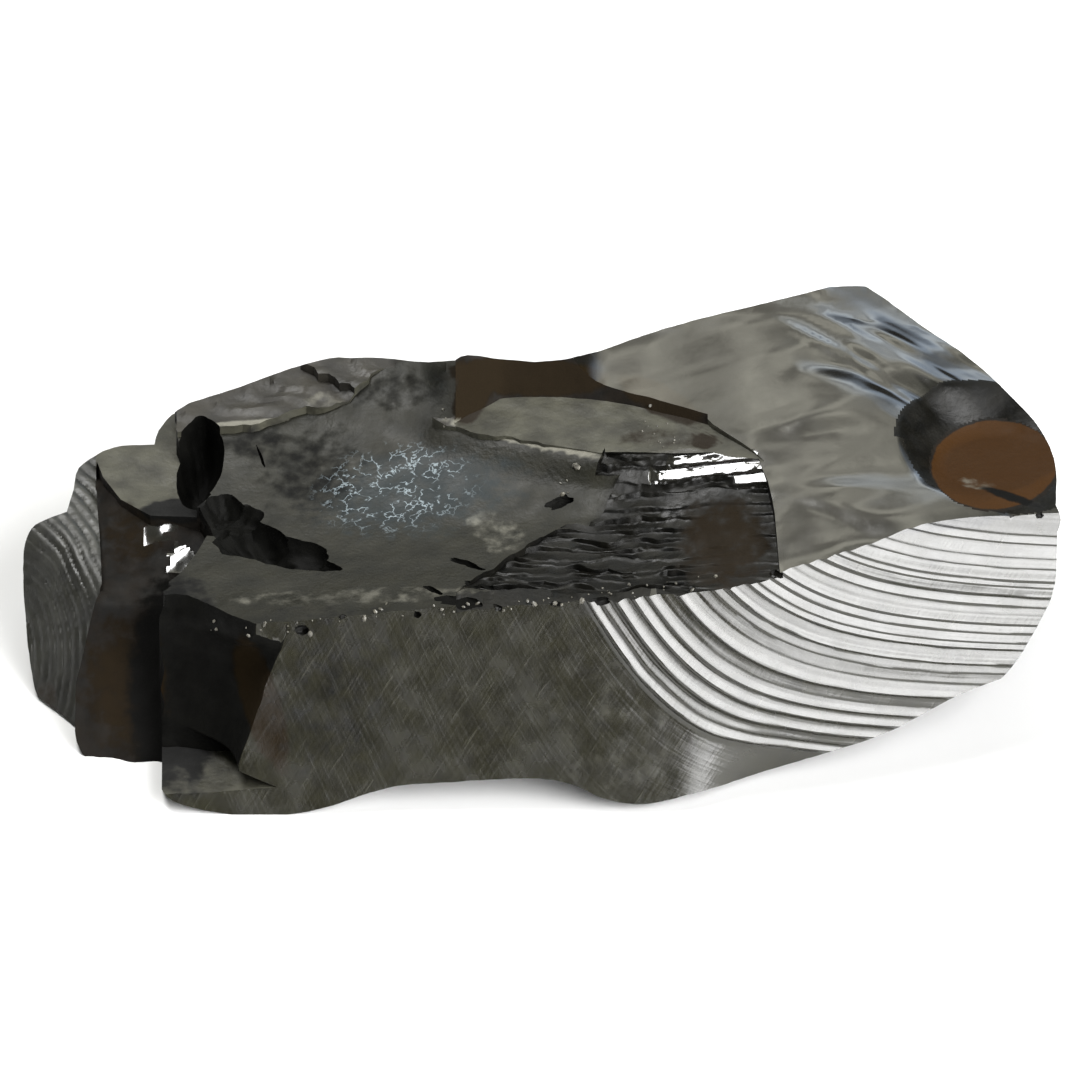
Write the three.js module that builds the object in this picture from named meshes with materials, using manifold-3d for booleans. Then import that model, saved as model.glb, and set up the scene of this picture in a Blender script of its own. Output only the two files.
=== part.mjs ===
// A hand specimen of noble shungite: one glassy black stone, 80 mm long, with the curved breaks of a
// conchoidal fracture. It rests on a flat underside. Millimetres, +Z up, +X along its length to the
// ribbed end, and the broad ribbed face looks to -Y.
//
// The stone is made as it was broken: a blank of its outline is tipped back from the table, and each
// fracture takes away what lay outside one curved face. A fracture is a box whose near side is bent to
// that face, so two neighbouring faces meet in a sharp edge.
import * as THREE from 'three';
import { mergeVertices } from 'three/addons/utils/BufferGeometryUtils.js';
import Module from 'manifold-3d';

const wasm = await Module();
wasm.setup();

// ---- driving dimensions, mm and degrees ----
const TIP = 55; // how far the plane of the outline is tipped back from the table
const FAR = 60; // reach of the blank and the fractures beyond the stone
const CENTRE = { x: 0.072, y: -12.684 }; // middle of the finished stone, brought to the origin
const FRONT_Y = -29; // the ribbed front face, at the height FRONT_Z
const FRONT_Z = 15;
const FRONT_LEAN = 0.44; // run per rise of the front face
const FRONT_TURN = { x: 16, slope: 0.4, soft: 3 }; // right of x it turns back by this slope
const BASIN = { x: -10, y: -17, z: 13.6 }; // the low middle of the dull hollow on top
const CREST = { x: 20, y: -26, z: 18 }; // the glassy top, over the front edge
const PLATE_Z = 11.5; // the small smooth step at the left end
const BACK_Y = 5.6; // the hidden back, half way up

// ---- small helpers ----
const rad = THREE.MathUtils.degToRad;
const clamp = THREE.MathUtils.clamp;
const lines = (from, to, step) => {
  const count = Math.ceil((to - from) / step);
  return Array.from({ length: count + 1 }, (_, i) => from + ((to - from) * i) / count);
};
const softMax = (a, b, soft) => {
  const h = Math.max(soft - Math.abs(a - b), 0) / soft;
  return Math.max(a, b) + (h * h * soft) / 4;
};
const softMin = (a, b, soft) => -softMax(-a, -b, soft);
// A repeatable roughness from -1 to 1, lumps about one unit across.
const rough = (x, y, seed) =>
  (Math.sin(1.9 * x + 1.3 * Math.sin(2.3 * y + seed)) + Math.sin(2.1 * y + 1.7 * Math.sin(1.7 * x - seed))) / 2;

// A three.js geometry as a manifold-3d solid.
function solid(geometry) {
  const bare = geometry.clone();
  bare.deleteAttribute('normal');
  bare.deleteAttribute('uv');
  const merged = mergeVertices(bare, 1e-4);
  const made = new wasm.Manifold(new wasm.Mesh({
    numProp: 3,
    vertProperties: new Float32Array(merged.attributes.position.array),
    triVerts: new Uint32Array(merged.index.array),
  }));
  return made;
}

// A box of cells whose near side follows face(a, b) -> [x, y, z] and whose far side lies off by away.
function bentBox(as, bs, face, away) {
  const box = new THREE.BoxGeometry(1, 1, 1, as.length - 1, bs.length - 1, 1);
  const at = box.attributes.position;
  const off = new THREE.Vector3(...away);
  const point = new THREE.Vector3();
  for (let i = 0; i < at.count; i++) {
    const a = as[Math.round((at.getX(i) + 0.5) * (as.length - 1))];
    const b = bs[Math.round((at.getY(i) + 0.5) * (bs.length - 1))];
    point.set(...face(a, b));
    if (at.getZ(i) > 0) point.add(off);
    at.setXYZ(i, point.x, point.y, point.z);
  }
  const index = box.index.array;
  const probe = new THREE.Vector3(...face(as[0], bs[0]));
  const alongA = new THREE.Vector3(...face(as[as.length - 1], bs[0])).sub(probe);
  const alongB = new THREE.Vector3(...face(as[0], bs[bs.length - 1])).sub(probe);
  if (alongA.cross(alongB).dot(off) < 0) {
    for (let i = 0; i < index.length; i += 3) [index[i], index[i + 1]] = [index[i + 1], index[i]];
  }
  return solid(box);
}

// Everything over the floor z = floor(x, y), inside a plan outline of [x, y] corners.
function above(plan, floor, cell) {
  const shape = new THREE.Shape(plan.map(([x, y]) => new THREE.Vector2(x, y)));
  const column = new THREE.ExtrudeGeometry(shape, { depth: 2 * FAR, bevelEnabled: false });
  column.translate(0, 0, -FAR);
  const xs = plan.map(([x]) => x);
  const ys = plan.map(([, y]) => y);
  const over = bentBox(
    lines(Math.max(Math.min(...xs), -44) - 1, Math.min(Math.max(...xs), 44) + 1, cell),
    lines(Math.max(Math.min(...ys), -44) - 1, Math.min(Math.max(...ys), 40) + 1, cell),
    (x, y) => [x, y, floor(x, y)],
    [0, 0, FAR],
  );
  return solid(column).intersect(over);
}

// An egg-shaped hollow, turned about the upright by so many degrees.
function egg(at, radii, turn = 0, facets = 20) {
  const ball = new THREE.SphereGeometry(1, facets, facets / 2);
  ball.scale(...radii);
  ball.rotateZ(rad(turn));
  ball.translate(...at);
  return solid(ball);
}

// Everything outside a flat break through a point, facing a way, with a bow of so many mm over its span.
function breakAway(at, facing, span, bow, cell, seed = 0, grain = 0) {
  const out = new THREE.Vector3(...facing).normalize();
  const along = new THREE.Vector3(1, 0, 0).addScaledVector(out, -out.x);
  if (along.length() < 0.5) along.set(0, 1, 0).addScaledVector(out, -out.y);
  along.normalize();
  const across = new THREE.Vector3().crossVectors(out, along);
  const origin = new THREE.Vector3(...at);
  const half = lines(-span / 2, span / 2, cell);
  return bentBox(half, half, (a, b) => {
    const r2 = (a * a + b * b) / (span * span / 4);
    const height = bow * Math.min(r2, 1.6) + grain * rough(a / 5, b / 5, seed);
    return origin.clone().addScaledVector(along, a).addScaledVector(across, b).addScaledVector(out, height).toArray();
  }, out.clone().multiplyScalar(FAR).toArray());
}

// ---- the blank: the outline, drawn across (u) and up (v) its own plane ----
// Each row is one smooth stretch, and the stone has a corner where two rows meet.
const STRETCHES = [
  [[-36.5, 2.8], [-38.1, 2.2], [-39.2, 1.5], [-39.8, -0.2], [-39.8, -3.2], [-39.5, -7.1], [-38.9, -10.9],
    [-38.3, -11.7], [-36.9, -12.7], [-35.8, -13.7]],
  [[-35.8, -13.7], [-35.4, -15.4], [-34.4, -16.4], [-32.3, -16.5], [-30.2, -16.8], [-29.3, -17.3]],
  [[-29.3, -17.3], [-28.9, -18.7], [-27.6, -19.6], [-25, -20.2], [-21.2, -20.6], [-16.9, -20], [-13.5, -18.9],
    [-10.8, -18.2], [-7.7, -18], [-3.1, -17.7], [0.4, -17.7], [2.7, -18.2], [4.6, -19.1], [6.9, -19.6],
    [8.9, -19.5], [11.5, -18.9], [13.9, -18.2], [16.9, -17.2], [20, -16.3], [24.6, -14.9], [27.7, -13.7]],
  [[27.7, -13.7], [29.6, -12.6], [32.3, -11.2], [35.4, -10]],
  [[35.4, -10], [36.5, -8.8], [37.9, -6.5], [39.1, -4.2], [39.6, -2.1], [39.7, 1.2]],
  [[39.7, 1.2], [40, 2.2], [39.6, 3.3]],
  [[39.6, 3.3], [39.7, 5.2], [39.4, 7.4], [38.3, 9.5], [35.8, 12.2], [33.1, 14.7], [30, 16.8], [26.9, 19.1],
    [25.4, 20.1]],
  [[25.4, 20.1], [24.6, 20.5], [23.7, 20.5], [18.5, 19.2], [12.3, 17.7], [8.5, 16.6], [4.6, 15.2]],
  [[4.6, 15.2], [1.9, 14.6], [-0.4, 14.4], [-3.1, 14.6], [-5.6, 14.9], [-6.5, 14.5]],
  [[-6.5, 14.5], [-9.2, 14.4], [-12.3, 14.7], [-14.5, 14.7], [-16.2, 14.7], [-19.2, 13.9], [-23.1, 12.5],
    [-27.1, 11.2]],
  [[-27.1, 11.2], [-28.5, 10.3], [-29.5, 9.1], [-29.8, 8]],
  [[-29.8, 8], [-32.3, 7.9], [-33.8, 7.5]],
  [[-33.8, 7.5], [-35.6, 6.2], [-36, 4.5], [-36.5, 2.8]],
];

function blank() {
  const shape = new THREE.Shape();
  shape.moveTo(...STRETCHES[0][0]);
  for (const stretch of STRETCHES) {
    const curve = new THREE.SplineCurve(stretch.map(([u, v]) => new THREE.Vector2(u, v)));
    curve.getPoints(stretch.length * 2 - 2).slice(1).forEach((p) => shape.lineTo(p.x, p.y));
  }
  const slab = new THREE.ExtrudeGeometry(shape, { depth: 2 * FAR, bevelEnabled: false });
  slab.translate(0, 0, -FAR);
  slab.rotateX(rad(TIP));
  const table = new THREE.BoxGeometry(4 * FAR, 4 * FAR, 2 * FAR).translate(0, 0, -FAR);
  return solid(slab).subtract(solid(table));
}

// ---- the ribbed front face ----
// The ribs are fronts of one travelling crack: hyperbolas, all alike, one behind the other.
const RIB = { heading: rad(57), middle: -16.8, elbow: 8.2, spread: 0.72 };
const RIBS = [-6.1, -4.6, -3.6, -2.4, -0.2, 1.8, 3.3, 4.4, 5.4, 6.7, 7.9, 9.3, 10.7, 12.1];
const RIB_HEIGHT = 0.35;
const RIB_WIDTH = 0.45;

const frontY = (x) => {
  const turn = (x - FRONT_TURN.x) / FRONT_TURN.soft;
  return FRONT_Y + FRONT_TURN.slope * FRONT_TURN.soft * Math.log1p(Math.exp(turn));
};

// The point of the leaning front face that shows at (u, v) of the outline's plane.
function frontPoint(u, v) {
  const foot = frontY(u) - FRONT_LEAN * FRONT_Z;
  const z = (v - foot * Math.cos(rad(TIP))) / (Math.sin(rad(TIP)) + FRONT_LEAN * Math.cos(rad(TIP)));
  return [u, foot + FRONT_LEAN * z, z];
}

function frontBreak() {
  const cos = Math.cos(RIB.heading);
  const sin = Math.sin(RIB.heading);
  const ribLines = RIBS.flatMap((r) => [r - RIB_WIDTH, r, r + 0.1]);
  const ranks = [...lines(-48, -7.2, 4), ...ribLines, 14, 20, 30];
  const crests = new Set(RIBS);
  return bentBox(ranks, lines(-62, 22, 3), (rank, across) => {
    const ahead = rank + Math.hypot(RIB.elbow, RIB.spread * (across - RIB.middle)) - RIB.elbow;
    const u = clamp(ahead * cos - across * sin, -70, 70);
    const v = ahead * sin + across * cos;
    const [x, y, z] = frontPoint(u, v);
    return [x, crests.has(rank) ? y - RIB_HEIGHT : y, z];
  }, [0, -FAR, 0]);
}

// ---- the top: a glassy break on the right, which falls away to the right end ----
const glassyTop = (x, y) => {
  const rise = CREST.z + 0.16 * (y - CREST.y) + 0.2 * (x - CREST.x);
  const fall = 17.6 + 0.13 * (y + 22) - 0.2 * (x - 31);
  const behind = 22.2 + 0.05 * (y + 6.3) - 0.24 * (x - 23);
  const left = 19.6 + 0.1 * (y + 3) - 0.1 * (x + 3);
  return softMin(softMax(softMin(rise, fall, 5), left, 2), behind, 1.2);
};
// The thumb-shaped dish in it, at the right end.
const thumb = () => egg([35.3, -13.2, 20.6], [8.3, 9, 4.8], 0, 28);
const topBreak = () => bentBox(
  lines(-44, 44, 2), lines(-44, 40, 2), (x, y) => [x, y, glassyTop(x, y)], [0, 0, FAR],
);

// A break drawn row by row from back to front: each row holds its own left and right ends.
function rowBreak(rows, columns, face) {
  return bentBox(lines(0, columns, 1), rows.map((_, i) => i), (column, i) => {
    const row = rows[i];
    const x = THREE.MathUtils.lerp(row.left, row.right, column / columns);
    return face(x, row, column / columns);
  }, [0, 0, FAR]);
}

// The pale flat patch behind the hollow, with its dark little wall up to the back rim.
const patchCrease = (x) => (x < -3 ? -4.5 + 0.83 * (x + 3) : -4.5 - 0.021 * (x + 3) ** 2);
const palePatch = () => rowBreak(
  [8, 3, 0, -3, -7, -12].map((t) => ({ t, left: -6.6, right: 13.5 })),
  8,
  (x, { t }) => [x, patchCrease(x) + t, 17 + 0.075 * (x + 6.5) + Math.max(1.3 * t, 0.03 * t)],
);

// ---- the dull hollow on top ----
const basinFloor = (x, y) => {
  const back = y - BASIN.y;
  const skew = 0.012 * Math.max(0, back) * Math.max(0, x + 18);
  const across = x - BASIN.x;
  return BASIN.z + (back < 0 ? 0.007 : 0.009) * back * back + (across < 0 ? 0.09 : 0.1) * across + skew;
};
// Its right-hand edge, from the back rim to the front face.
const HOLLOW_EDGE = [[-6.8, -7.1], [-8.3, -6.9], [-5.4, -8.8], [-1.5, -10.2], [1.5, -11.4], [4.6, -12.6],
  [6.5, -13.5], [5, -17], [1.8, -20.5], [0, -24], [0, -44]];
const basin = () => above(
  [[-6.5, 20], [-6.5, -7], ...HOLLOW_EDGE, [-50, -44], [-50, -5.6], [-24.2, -5.6], [-20.8, -7],
    [-15.4, -7], [-14.6, -5.6], [-10, -4.9], [-9.6, -3.6], [-10.8, -1.6], [-7.7, 1.8], [-6.9, 20]],
  basinFloor,
  3,
);

// The layered ledge behind it, two thin plates with broken edges.
const ledge = () => above(
  [[-50, 30], [-50, -12], [-6.5, -12], [-6.5, 30]],
  (x, y) => {
    const corner = THREE.MathUtils.smoothstep(x, -12, -6.5) * THREE.MathUtils.smoothstep(y, -9, -3);
    return 15.7 + 0.14 * (y + 5) + 0.117 * (x + 18) + 2 * corner;
  },
  2.4,
);
const ledgeStep = () => above(
  [[-50, 30], [-50, -12], [-15, -12], [-13.2, -5], [-14.2, -2.2], [-18.5, 1.4], [-19, 30]],
  (x, y) => 15 + 0.14 * (y + 5) + 0.13 * (x + 18),
  4,
);

// The hackles: shingled steps that go down to the viewer from the hollow's right-hand edge.
const HACKLE = { pitch: 1.75, riser: 0.5, face: 0.2, sag: 2.2 };
// The left end of each step in turn, a ragged tongue over the dull floor.
const HACKLE_LEFT = [5, 4.2, 4.6, 3, 1.1, -0.8, -1.7, -2.4, -3.8, -1.9];
const HACKLE_RIGHT = [16.6, 17, 17.5, 17.8, 18, 18.1, 18.2, 18.3, 18.4, 18.4];
function hackles() {
  const count = HACKLE_LEFT.length;
  const length = (count - 1) * HACKLE.pitch;
  const rows = HACKLE_LEFT.flatMap((left, i) => {
    const ends = { left, right: HACKLE_RIGHT[i], step: i };
    return [{ ...ends, t: i * HACKLE.pitch, lift: i ? 1 : 0 }, { ...ends, t: i * HACKLE.pitch + HACKLE.face, lift: -1 }];
  });
  rows.push({ ...rows[rows.length - 1], t: 22, lift: 0 });
  return rowBreak(rows, 14, (x, { t, lift, step }) => {
    const along = clamp(t / length, 0, 1);
    const high = THREE.MathUtils.lerp(16.7 + 0.05 * x, 15.1 + 0.085 * (x - 1.5), along);
    const smooth = THREE.MathUtils.smoothstep(x, 10, 14) * THREE.MathUtils.smoothstep(t, 5, 8);
    const jag = t > 0 && t < length ? 0.45 * rough(0.6 * x, step * 2.1, 3) : 0;
    const y = -12.2 - 0.13 * (x - 4) - t + jag;
    const sag = HACKLE.sag * (1 - 0.45 * THREE.MathUtils.smoothstep(x, 8, 16));
    const z = high - sag * Math.sin(Math.PI * along) + 0.5 * HACKLE.riser * lift * (1 - smooth);
    return [x, y, z];
  });
}

// The black pit at the hollow's left, laid across the corner, and the black hollow behind the plate.
const pit = () => egg([-20.5, -17.6, 13.6], [7.2, 3, 3.6], -32);
const notch = () => egg([-26.2, -6.2, 15.2], [3, 6.2, 5.6], -8);

// ---- the left end: overlapping scales that step down to the table ----
const plate = () => above(
  [[-50, 30], [-50, -11.6], [-29.4, -11.9], [-25.2, -11.4], [-24.6, -6], [-26.5, -1], [-28.2, 1.5], [-28.6, 30]],
  (x, y) => PLATE_Z + 0.05 * (x + 30) + 0.04 * (y + 6),
  5,
);
// The edge between the skirt and the scale at the far left, and the skirt's edge under the plate.
const SCALE_SIDE = [[-34.6, 30], [-34.3, -6], [-33.9, -12], [-33.7, -17], [-34.8, -20.5], [-35.7, -23.5],
  [-36.3, -50]];
const SKIRT_EDGE = [[-34.2, -4.5], [-33.7, -6.5], [-32.3, -9.4], [-30, -11.6], [-27.6, -12], [-26.6, -14],
  [-27.3, -18], [-28.9, -23.6], [-28.9, -50]];
// The dark skirt round the plate's edge, and the brown lobed face below it.
const skirt = () => above(
  [...SCALE_SIDE.slice(1).reverse(), ...SKIRT_EDGE],
  (x, y) => {
    const reach = Math.hypot(x + 27, y + 5);
    const bowl = 8.3 + 0.17 * Math.max(0, 12.5 - reach) ** 1.5;
    const face = 8.3 + 0.86 * (y + 19) + 0.1 * (x + 30);
    return Math.min(bowl, face) + 0.25 * rough(x / 2, y / 2, 5);
  },
  1.6,
);
// The finely ribbed scale at the far left, its ribs running down to the table.
const endScale = () => above(
  [[-50, -50], [-50, 30], ...SCALE_SIDE.map(([x, y]) => [x + 0.05, y])],
  (x, y) => {
    const flank = 9.2 + 1.15 * (x + 36.2) + 0.95 * (y + 14);
    return softMin(9.8 + 0.1 * (y + 9), flank, 2) + 0.22 * Math.sin(3.1 * x + 0.3 * y);
  },
  1.1,
);

// The dark curved break at the front left corner, over a low lip. It is hollow both ways, and its edge
// with the front face leans in to the foot.
const CORNER = { left: -45, edge: -24.6, lean: 0.4, depth: 8.5, foot: 1.7, top: 13 };
const corner = () => bentBox(
  [0, 0.35, 0.55, 0.7, 0.82, 0.91, 0.97, 1, 1.15],
  [CORNER.foot, 3, 6, 9.5, CORNER.top, 30],
  (across, z) => {
    const edge = CORNER.edge + CORNER.lean * Math.min(z, CORNER.top);
    const x = THREE.MathUtils.lerp(CORNER.left, edge, across);
    const hollow = Math.sqrt(Math.max(0, 1 - across ** 4)) * (1 - 0.02 * (z - 6) ** 2 / 2);
    const lip = z === CORNER.foot ? 0.05 * (x + 24) : 0;
    const out = across > 1 ? -8 * (across - 1) : 0;
    return [x, frontY(x) - FRONT_LEAN * (FRONT_Z - z) + CORNER.depth * hollow + out, z + lip];
  },
  [0, -FAR, 0],
);

// Chips knocked off the front edge, each a small faceted bite: u, v and radius.
const CHIPS = [[-24.6, -5.6, 0.8], [-18.3, -6.3, 0.9], [-15.2, -5.2, 0.6], [-9.4, -5.1, 0.7], [-3.2, -4.6, 0.6],
  [1.2, -4.2, 0.7], [4.7, -4, 0.9], [8.5, -3.6, 0.7], [11.4, -3.1, 0.8], [14.2, -2.4, 0.6], [18, -1.9, 1],
  [21.6, -0.2, 0.5], [33.8, 2.3, 0.6], [36.2, 2.4, 0.9], [38.3, 2.4, 0.8]];
const chips = () => CHIPS.map(([u, v, radius], i) => {
  const bite = new THREE.IcosahedronGeometry(radius, 0);
  bite.rotateX(i).rotateZ(2 * i).translate(...frontPoint(u, v));
  return solid(bite);
});

// ---- the hidden sides: broad shallow breaks behind, under the ends and under the back ----
const hiddenBreaks = () => [
  breakAway([4, BACK_Y, 9], [-0.09, 1, 0.25], 70, 2.4, 5, 1, 0.35),
  breakAway([-24, BACK_Y - 1.2, 8], [-0.52, 0.86, 0.28], 50, 1.8, 5, 2, 0.35),
  breakAway([32.6, BACK_Y - 2.6, 10], [0.72, 0.68, 0.3], 50, 2, 5, 3, 0.35),
  breakAway([36.5, -8, 3], [0.62, 0.3, -0.72], 40, 1.5, 5, 4, 0.3),
  breakAway([28.5, -21.5, 2], [0.31, -0.23, -0.92], 40, 1.6, 4, 7, 0.3),
  breakAway([6, BACK_Y + 1.4, 1.6], [0.05, 0.55, -0.83], 60, 1.2, 5, 5, 0.3),
  breakAway([-33.5, -8, 1.2], [-0.5, 0.25, -0.83], 40, 1, 5, 6, 0.3),
];

// ---- the stone ----
function stone() {
  const breaks = [topBreak(), thumb(), palePatch(), basin(), ledge(), ledgeStep(), hackles(), pit(), notch(), plate(),
    skirt(), endScale(), corner(), frontBreak(), ...chips(), ...hiddenBreaks()];
  const [whole] = breaks.reduce((left, cut) => left.subtract(cut), blank()).decompose()
    .sort((a, b) => b.volume() - a.volume());
  const { vertProperties, triVerts, numProp } = whole.getMesh();
  const corners = new Float32Array((vertProperties.length / numProp) * 3);
  for (let i = 0; i < corners.length / 3; i++) {
    corners.set(vertProperties.subarray(i * numProp, i * numProp + 3), i * 3);
  }
  const geometry = new THREE.BufferGeometry();
  geometry.setAttribute('position', new THREE.BufferAttribute(corners, 3));
  geometry.setIndex(new THREE.BufferAttribute(new Uint32Array(triVerts), 1));
  geometry.translate(-CENTRE.x, -CENTRE.y, 0);
  geometry.computeVertexNormals();
  const finish = new THREE.MeshStandardMaterial({ color: 0x3a3a36, roughness: 0.3, metalness: 0.6 });
  const mesh = new THREE.Mesh(geometry, finish);
  mesh.name = 'shungite_stone';
  return mesh;
}

const specimen = new THREE.Group();
specimen.name = 'shungite_specimen';
specimen.add(stone());

export default specimen;
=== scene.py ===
"""A hand specimen of noble shungite: glassy black stone, 80 mm long, dressed for show.

The stone is made as it was broken. A blank of its outline is tipped back from the table, and each
fracture takes away what lay outside one curved face. Shapes are worked out in millimetres in the
frame of the outline, and the finished mesh is brought to the part's frame in metres at the end.
"""
import logging
import math
from dataclasses import dataclass, field
from enum import Enum
from typing import Any, Callable, Sequence

import bpy
import numpy as np
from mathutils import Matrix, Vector


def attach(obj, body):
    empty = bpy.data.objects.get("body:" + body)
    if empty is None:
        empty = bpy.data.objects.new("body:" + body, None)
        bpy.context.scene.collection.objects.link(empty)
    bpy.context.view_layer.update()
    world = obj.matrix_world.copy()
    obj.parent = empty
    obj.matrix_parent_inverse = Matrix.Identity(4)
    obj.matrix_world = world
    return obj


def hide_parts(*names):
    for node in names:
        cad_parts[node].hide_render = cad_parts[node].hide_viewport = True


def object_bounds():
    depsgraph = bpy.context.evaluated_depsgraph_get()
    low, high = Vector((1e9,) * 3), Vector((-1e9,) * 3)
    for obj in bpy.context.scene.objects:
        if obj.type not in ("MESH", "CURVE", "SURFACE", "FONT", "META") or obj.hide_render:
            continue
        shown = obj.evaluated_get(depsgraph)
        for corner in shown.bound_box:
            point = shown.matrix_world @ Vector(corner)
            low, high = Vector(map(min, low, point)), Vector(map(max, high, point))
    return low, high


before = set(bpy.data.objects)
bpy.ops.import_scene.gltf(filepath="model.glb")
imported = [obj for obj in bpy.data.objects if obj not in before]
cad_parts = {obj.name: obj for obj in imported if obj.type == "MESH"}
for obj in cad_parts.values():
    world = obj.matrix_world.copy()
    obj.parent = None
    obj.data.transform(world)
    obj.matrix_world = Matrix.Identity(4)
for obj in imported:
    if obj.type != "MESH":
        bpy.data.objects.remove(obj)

Array = np.ndarray
Face = Callable[[Array, Array], Array]
Plan = Sequence[tuple[float, float]]

MM = 0.001
TIP = math.radians(55)  # how far the plane of the outline is tipped back from the table
FAR = 60.0  # reach of the blank and the fractures beyond the stone
LEFT, RIGHT, FRONT, BACK = -44, 44, -44, 16  # the stone lies inside these, in millimetres
CENTRE = (0.072, -12.684)  # middle of the finished stone
CAD_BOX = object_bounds()

MATH, VECTOR, RANGE = "ShaderNodeMath", "ShaderNodeVectorMath", "ShaderNodeMapRange"
NOISE, MAPPING, MIX = "ShaderNodeTexNoise", "ShaderNodeMapping", "ShaderNodeMix"
ATTRIBUTE, NAMED = "ShaderNodeAttribute", "GeometryNodeInputNamedAttribute"
SMOOTH, COLOURS, NUMBER = {"interpolation_type": "SMOOTHSTEP"}, {"data_type": "RGBA"}, {"data_type": "FLOAT"}
log = logging.getLogger("shungite")


class Finish(Enum):
    """The finishes of the stone's faces, by the material slot that each takes."""

    GLASSY = 0
    DULL = 1
    PALE = 2
    RIBBED = 3
    HACKLED = 4
    HOLLOW = 5
    SCALE = 6
    LOBED = 7
    LAYERED = 8
    HIDDEN = 9
    CRUMB = 10


class Paint(Enum):
    """What lies on the stone in places, with the painted shade, painted light and painted reflection, by its
    colour in sRGB hex.
    """

    BLOOM = "#1e2527"
    CRACKLE = "#808b90"
    DUST = "#6f6d63"
    # Painted light: a paler tone laid on the front face towards its right.
    PAINTED_LIGHT = "#3b3a30"
    # Painted reflection: the flat brown that the dish mirrors, laid into its colour.
    PAINTED_REFLECTION = "#321d04"
    # Painted shade: near-black laid where the stone lies in shade, in its hollows and on the darker sides of
    # its faces.
    PAINTED_SHADE = "#070706"
    STAIN = "#1b1409"

    @property
    def held(self) -> str:
        """The name of the mesh attribute that says how much of it there is."""
        return self.name.lower()


# ---- small helpers ----
def square(half: float) -> list[tuple[float, float]]:
    """The corners of a square round the middle of the floor."""
    return [(-half, -half), (half, -half), (half, half), (-half, half)]


def linear(code: str) -> tuple[float, float, float, float]:
    """Turns an sRGB hex colour to linear.

    Args:
        code: The colour, such as "#3a3a36".

    Returns:
        Its linear red, green, blue and full alpha.
    """
    parts = [int(code[i : i + 2], 16) / 255 for i in (1, 3, 5)]
    red, green, blue = (c / 12.92 if c <= 0.04045 else ((c + 0.055) / 1.055) ** 2.4 for c in parts)
    return red, green, blue, 1.0


def spaced(start: float, stop: float, step: float) -> Array:
    """Even steps from one number to another, both included, none wider than the step."""
    return np.linspace(start, stop, int(math.ceil((stop - start) / step)) + 1)


@dataclass(frozen=True)
class Slope:
    """A flat slope: its height at a place, that place, and its rise along the stone and across it."""

    z: float
    x: float
    y: float
    along: float
    across: float

    def at(self, x: Array, y: Array) -> Array:
        """The slope's height at each x and y."""
        return self.z + self.across * (y - self.y) + self.along * (x - self.x)


def ease(x: Array, low: float, high: float) -> Array:
    """A smooth rise from 0 at the low x to 1 at the high one."""
    t = np.clip((x - low) / (high - low), 0, 1)
    return t * t * (3 - 2 * t)


def soft_max(a: Array, b: Array, soft: float) -> Array:
    """The larger of two heights, rounded where they lie closer than the soft distance."""
    h = np.maximum(soft - np.abs(a - b), 0) / soft
    return np.maximum(a, b) + h * h * soft / 4


def soft_min(a: Array, b: Array, soft: float) -> Array:
    """The smaller of two heights, rounded in the same way."""
    return -soft_max(-a, -b, soft)


def lumps(x: Array, y: Array, seed: int) -> Array:
    """Smooth repeatable lumps about one unit across.

    Args:
        x: First coordinate, in lumps.
        y: Second coordinate, in lumps.
        seed: Which field of lumps.

    Returns:
        Heights from -1 to 1.
    """
    table = np.random.default_rng(seed).uniform(-1, 1, (64, 64))
    x, y = np.broadcast_arrays(np.asarray(x, float), np.asarray(y, float))
    i, j = np.floor(x).astype(int), np.floor(y).astype(int)
    fx, fy = x - i, y - j
    fx, fy = fx * fx * (3 - 2 * fx), fy * fy * (3 - 2 * fy)
    here, right = table[i % 64, j % 64], table[(i + 1) % 64, j % 64]
    up, both = table[i % 64, (j + 1) % 64], table[(i + 1) % 64, (j + 1) % 64]
    return (here * (1 - fx) + right * fx) * (1 - fy) + (up * (1 - fx) + both * fx) * fy


def rubble(x: Array, y: Array, seed: int, layers: int = 3) -> Array:
    """Lumps upon smaller lumps, each layer half as large as the last, from about -1 to 1."""
    return sum(lumps(x * 2**k, y * 2**k, seed + k) / 2**k for k in range(layers)) / 1.5


# ---- meshes and cuts ----
def new_object(name: str, points: list, faces: list) -> bpy.types.Object:
    """Makes a mesh object in the scene.

    Args:
        name: Its name.
        points: Its corners, one row each.
        faces: Its faces, as lists of corner numbers.

    Returns:
        The object.
    """
    mesh = bpy.data.meshes.new(name)
    mesh.from_pydata(points, [], faces)
    made = bpy.data.objects.new(name, mesh)
    bpy.context.scene.collection.objects.link(made)
    return made


def store(made: bpy.types.Object, name: str, values: Array, on: str = "POINT") -> None:
    """Keeps a whole number for each face of a mesh, or a number or a row of three for each point.

    Args:
        made: The mesh object.
        name: The attribute's name.
        values: The values.
        on: POINT or FACE.
    """
    rows = values.ndim == 2
    kind = "INT" if on == "FACE" else "FLOAT_VECTOR" if rows else "FLOAT"
    held = made.data.attributes.get(name) or made.data.attributes.new(name, kind, on)
    plain = values.astype(np.int32 if on == "FACE" else np.float32)
    held.data.foreach_set("vector" if rows else "value", plain.ravel())


def solid(name: str, points: Array, faces: list, finish: Finish) -> bpy.types.Object:
    """Makes a mesh object in millimetres, with one finish on all its faces.

    Args:
        name: Its name.
        points: Its corners, one row each.
        faces: Its faces, as lists of corner numbers.
        finish: The finish of all its faces.

    Returns:
        The object.
    """
    made = new_object(name, points.tolist(), faces)
    store(made, "finish", np.full(len(faces), finish.value), "FACE")
    return made


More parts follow.
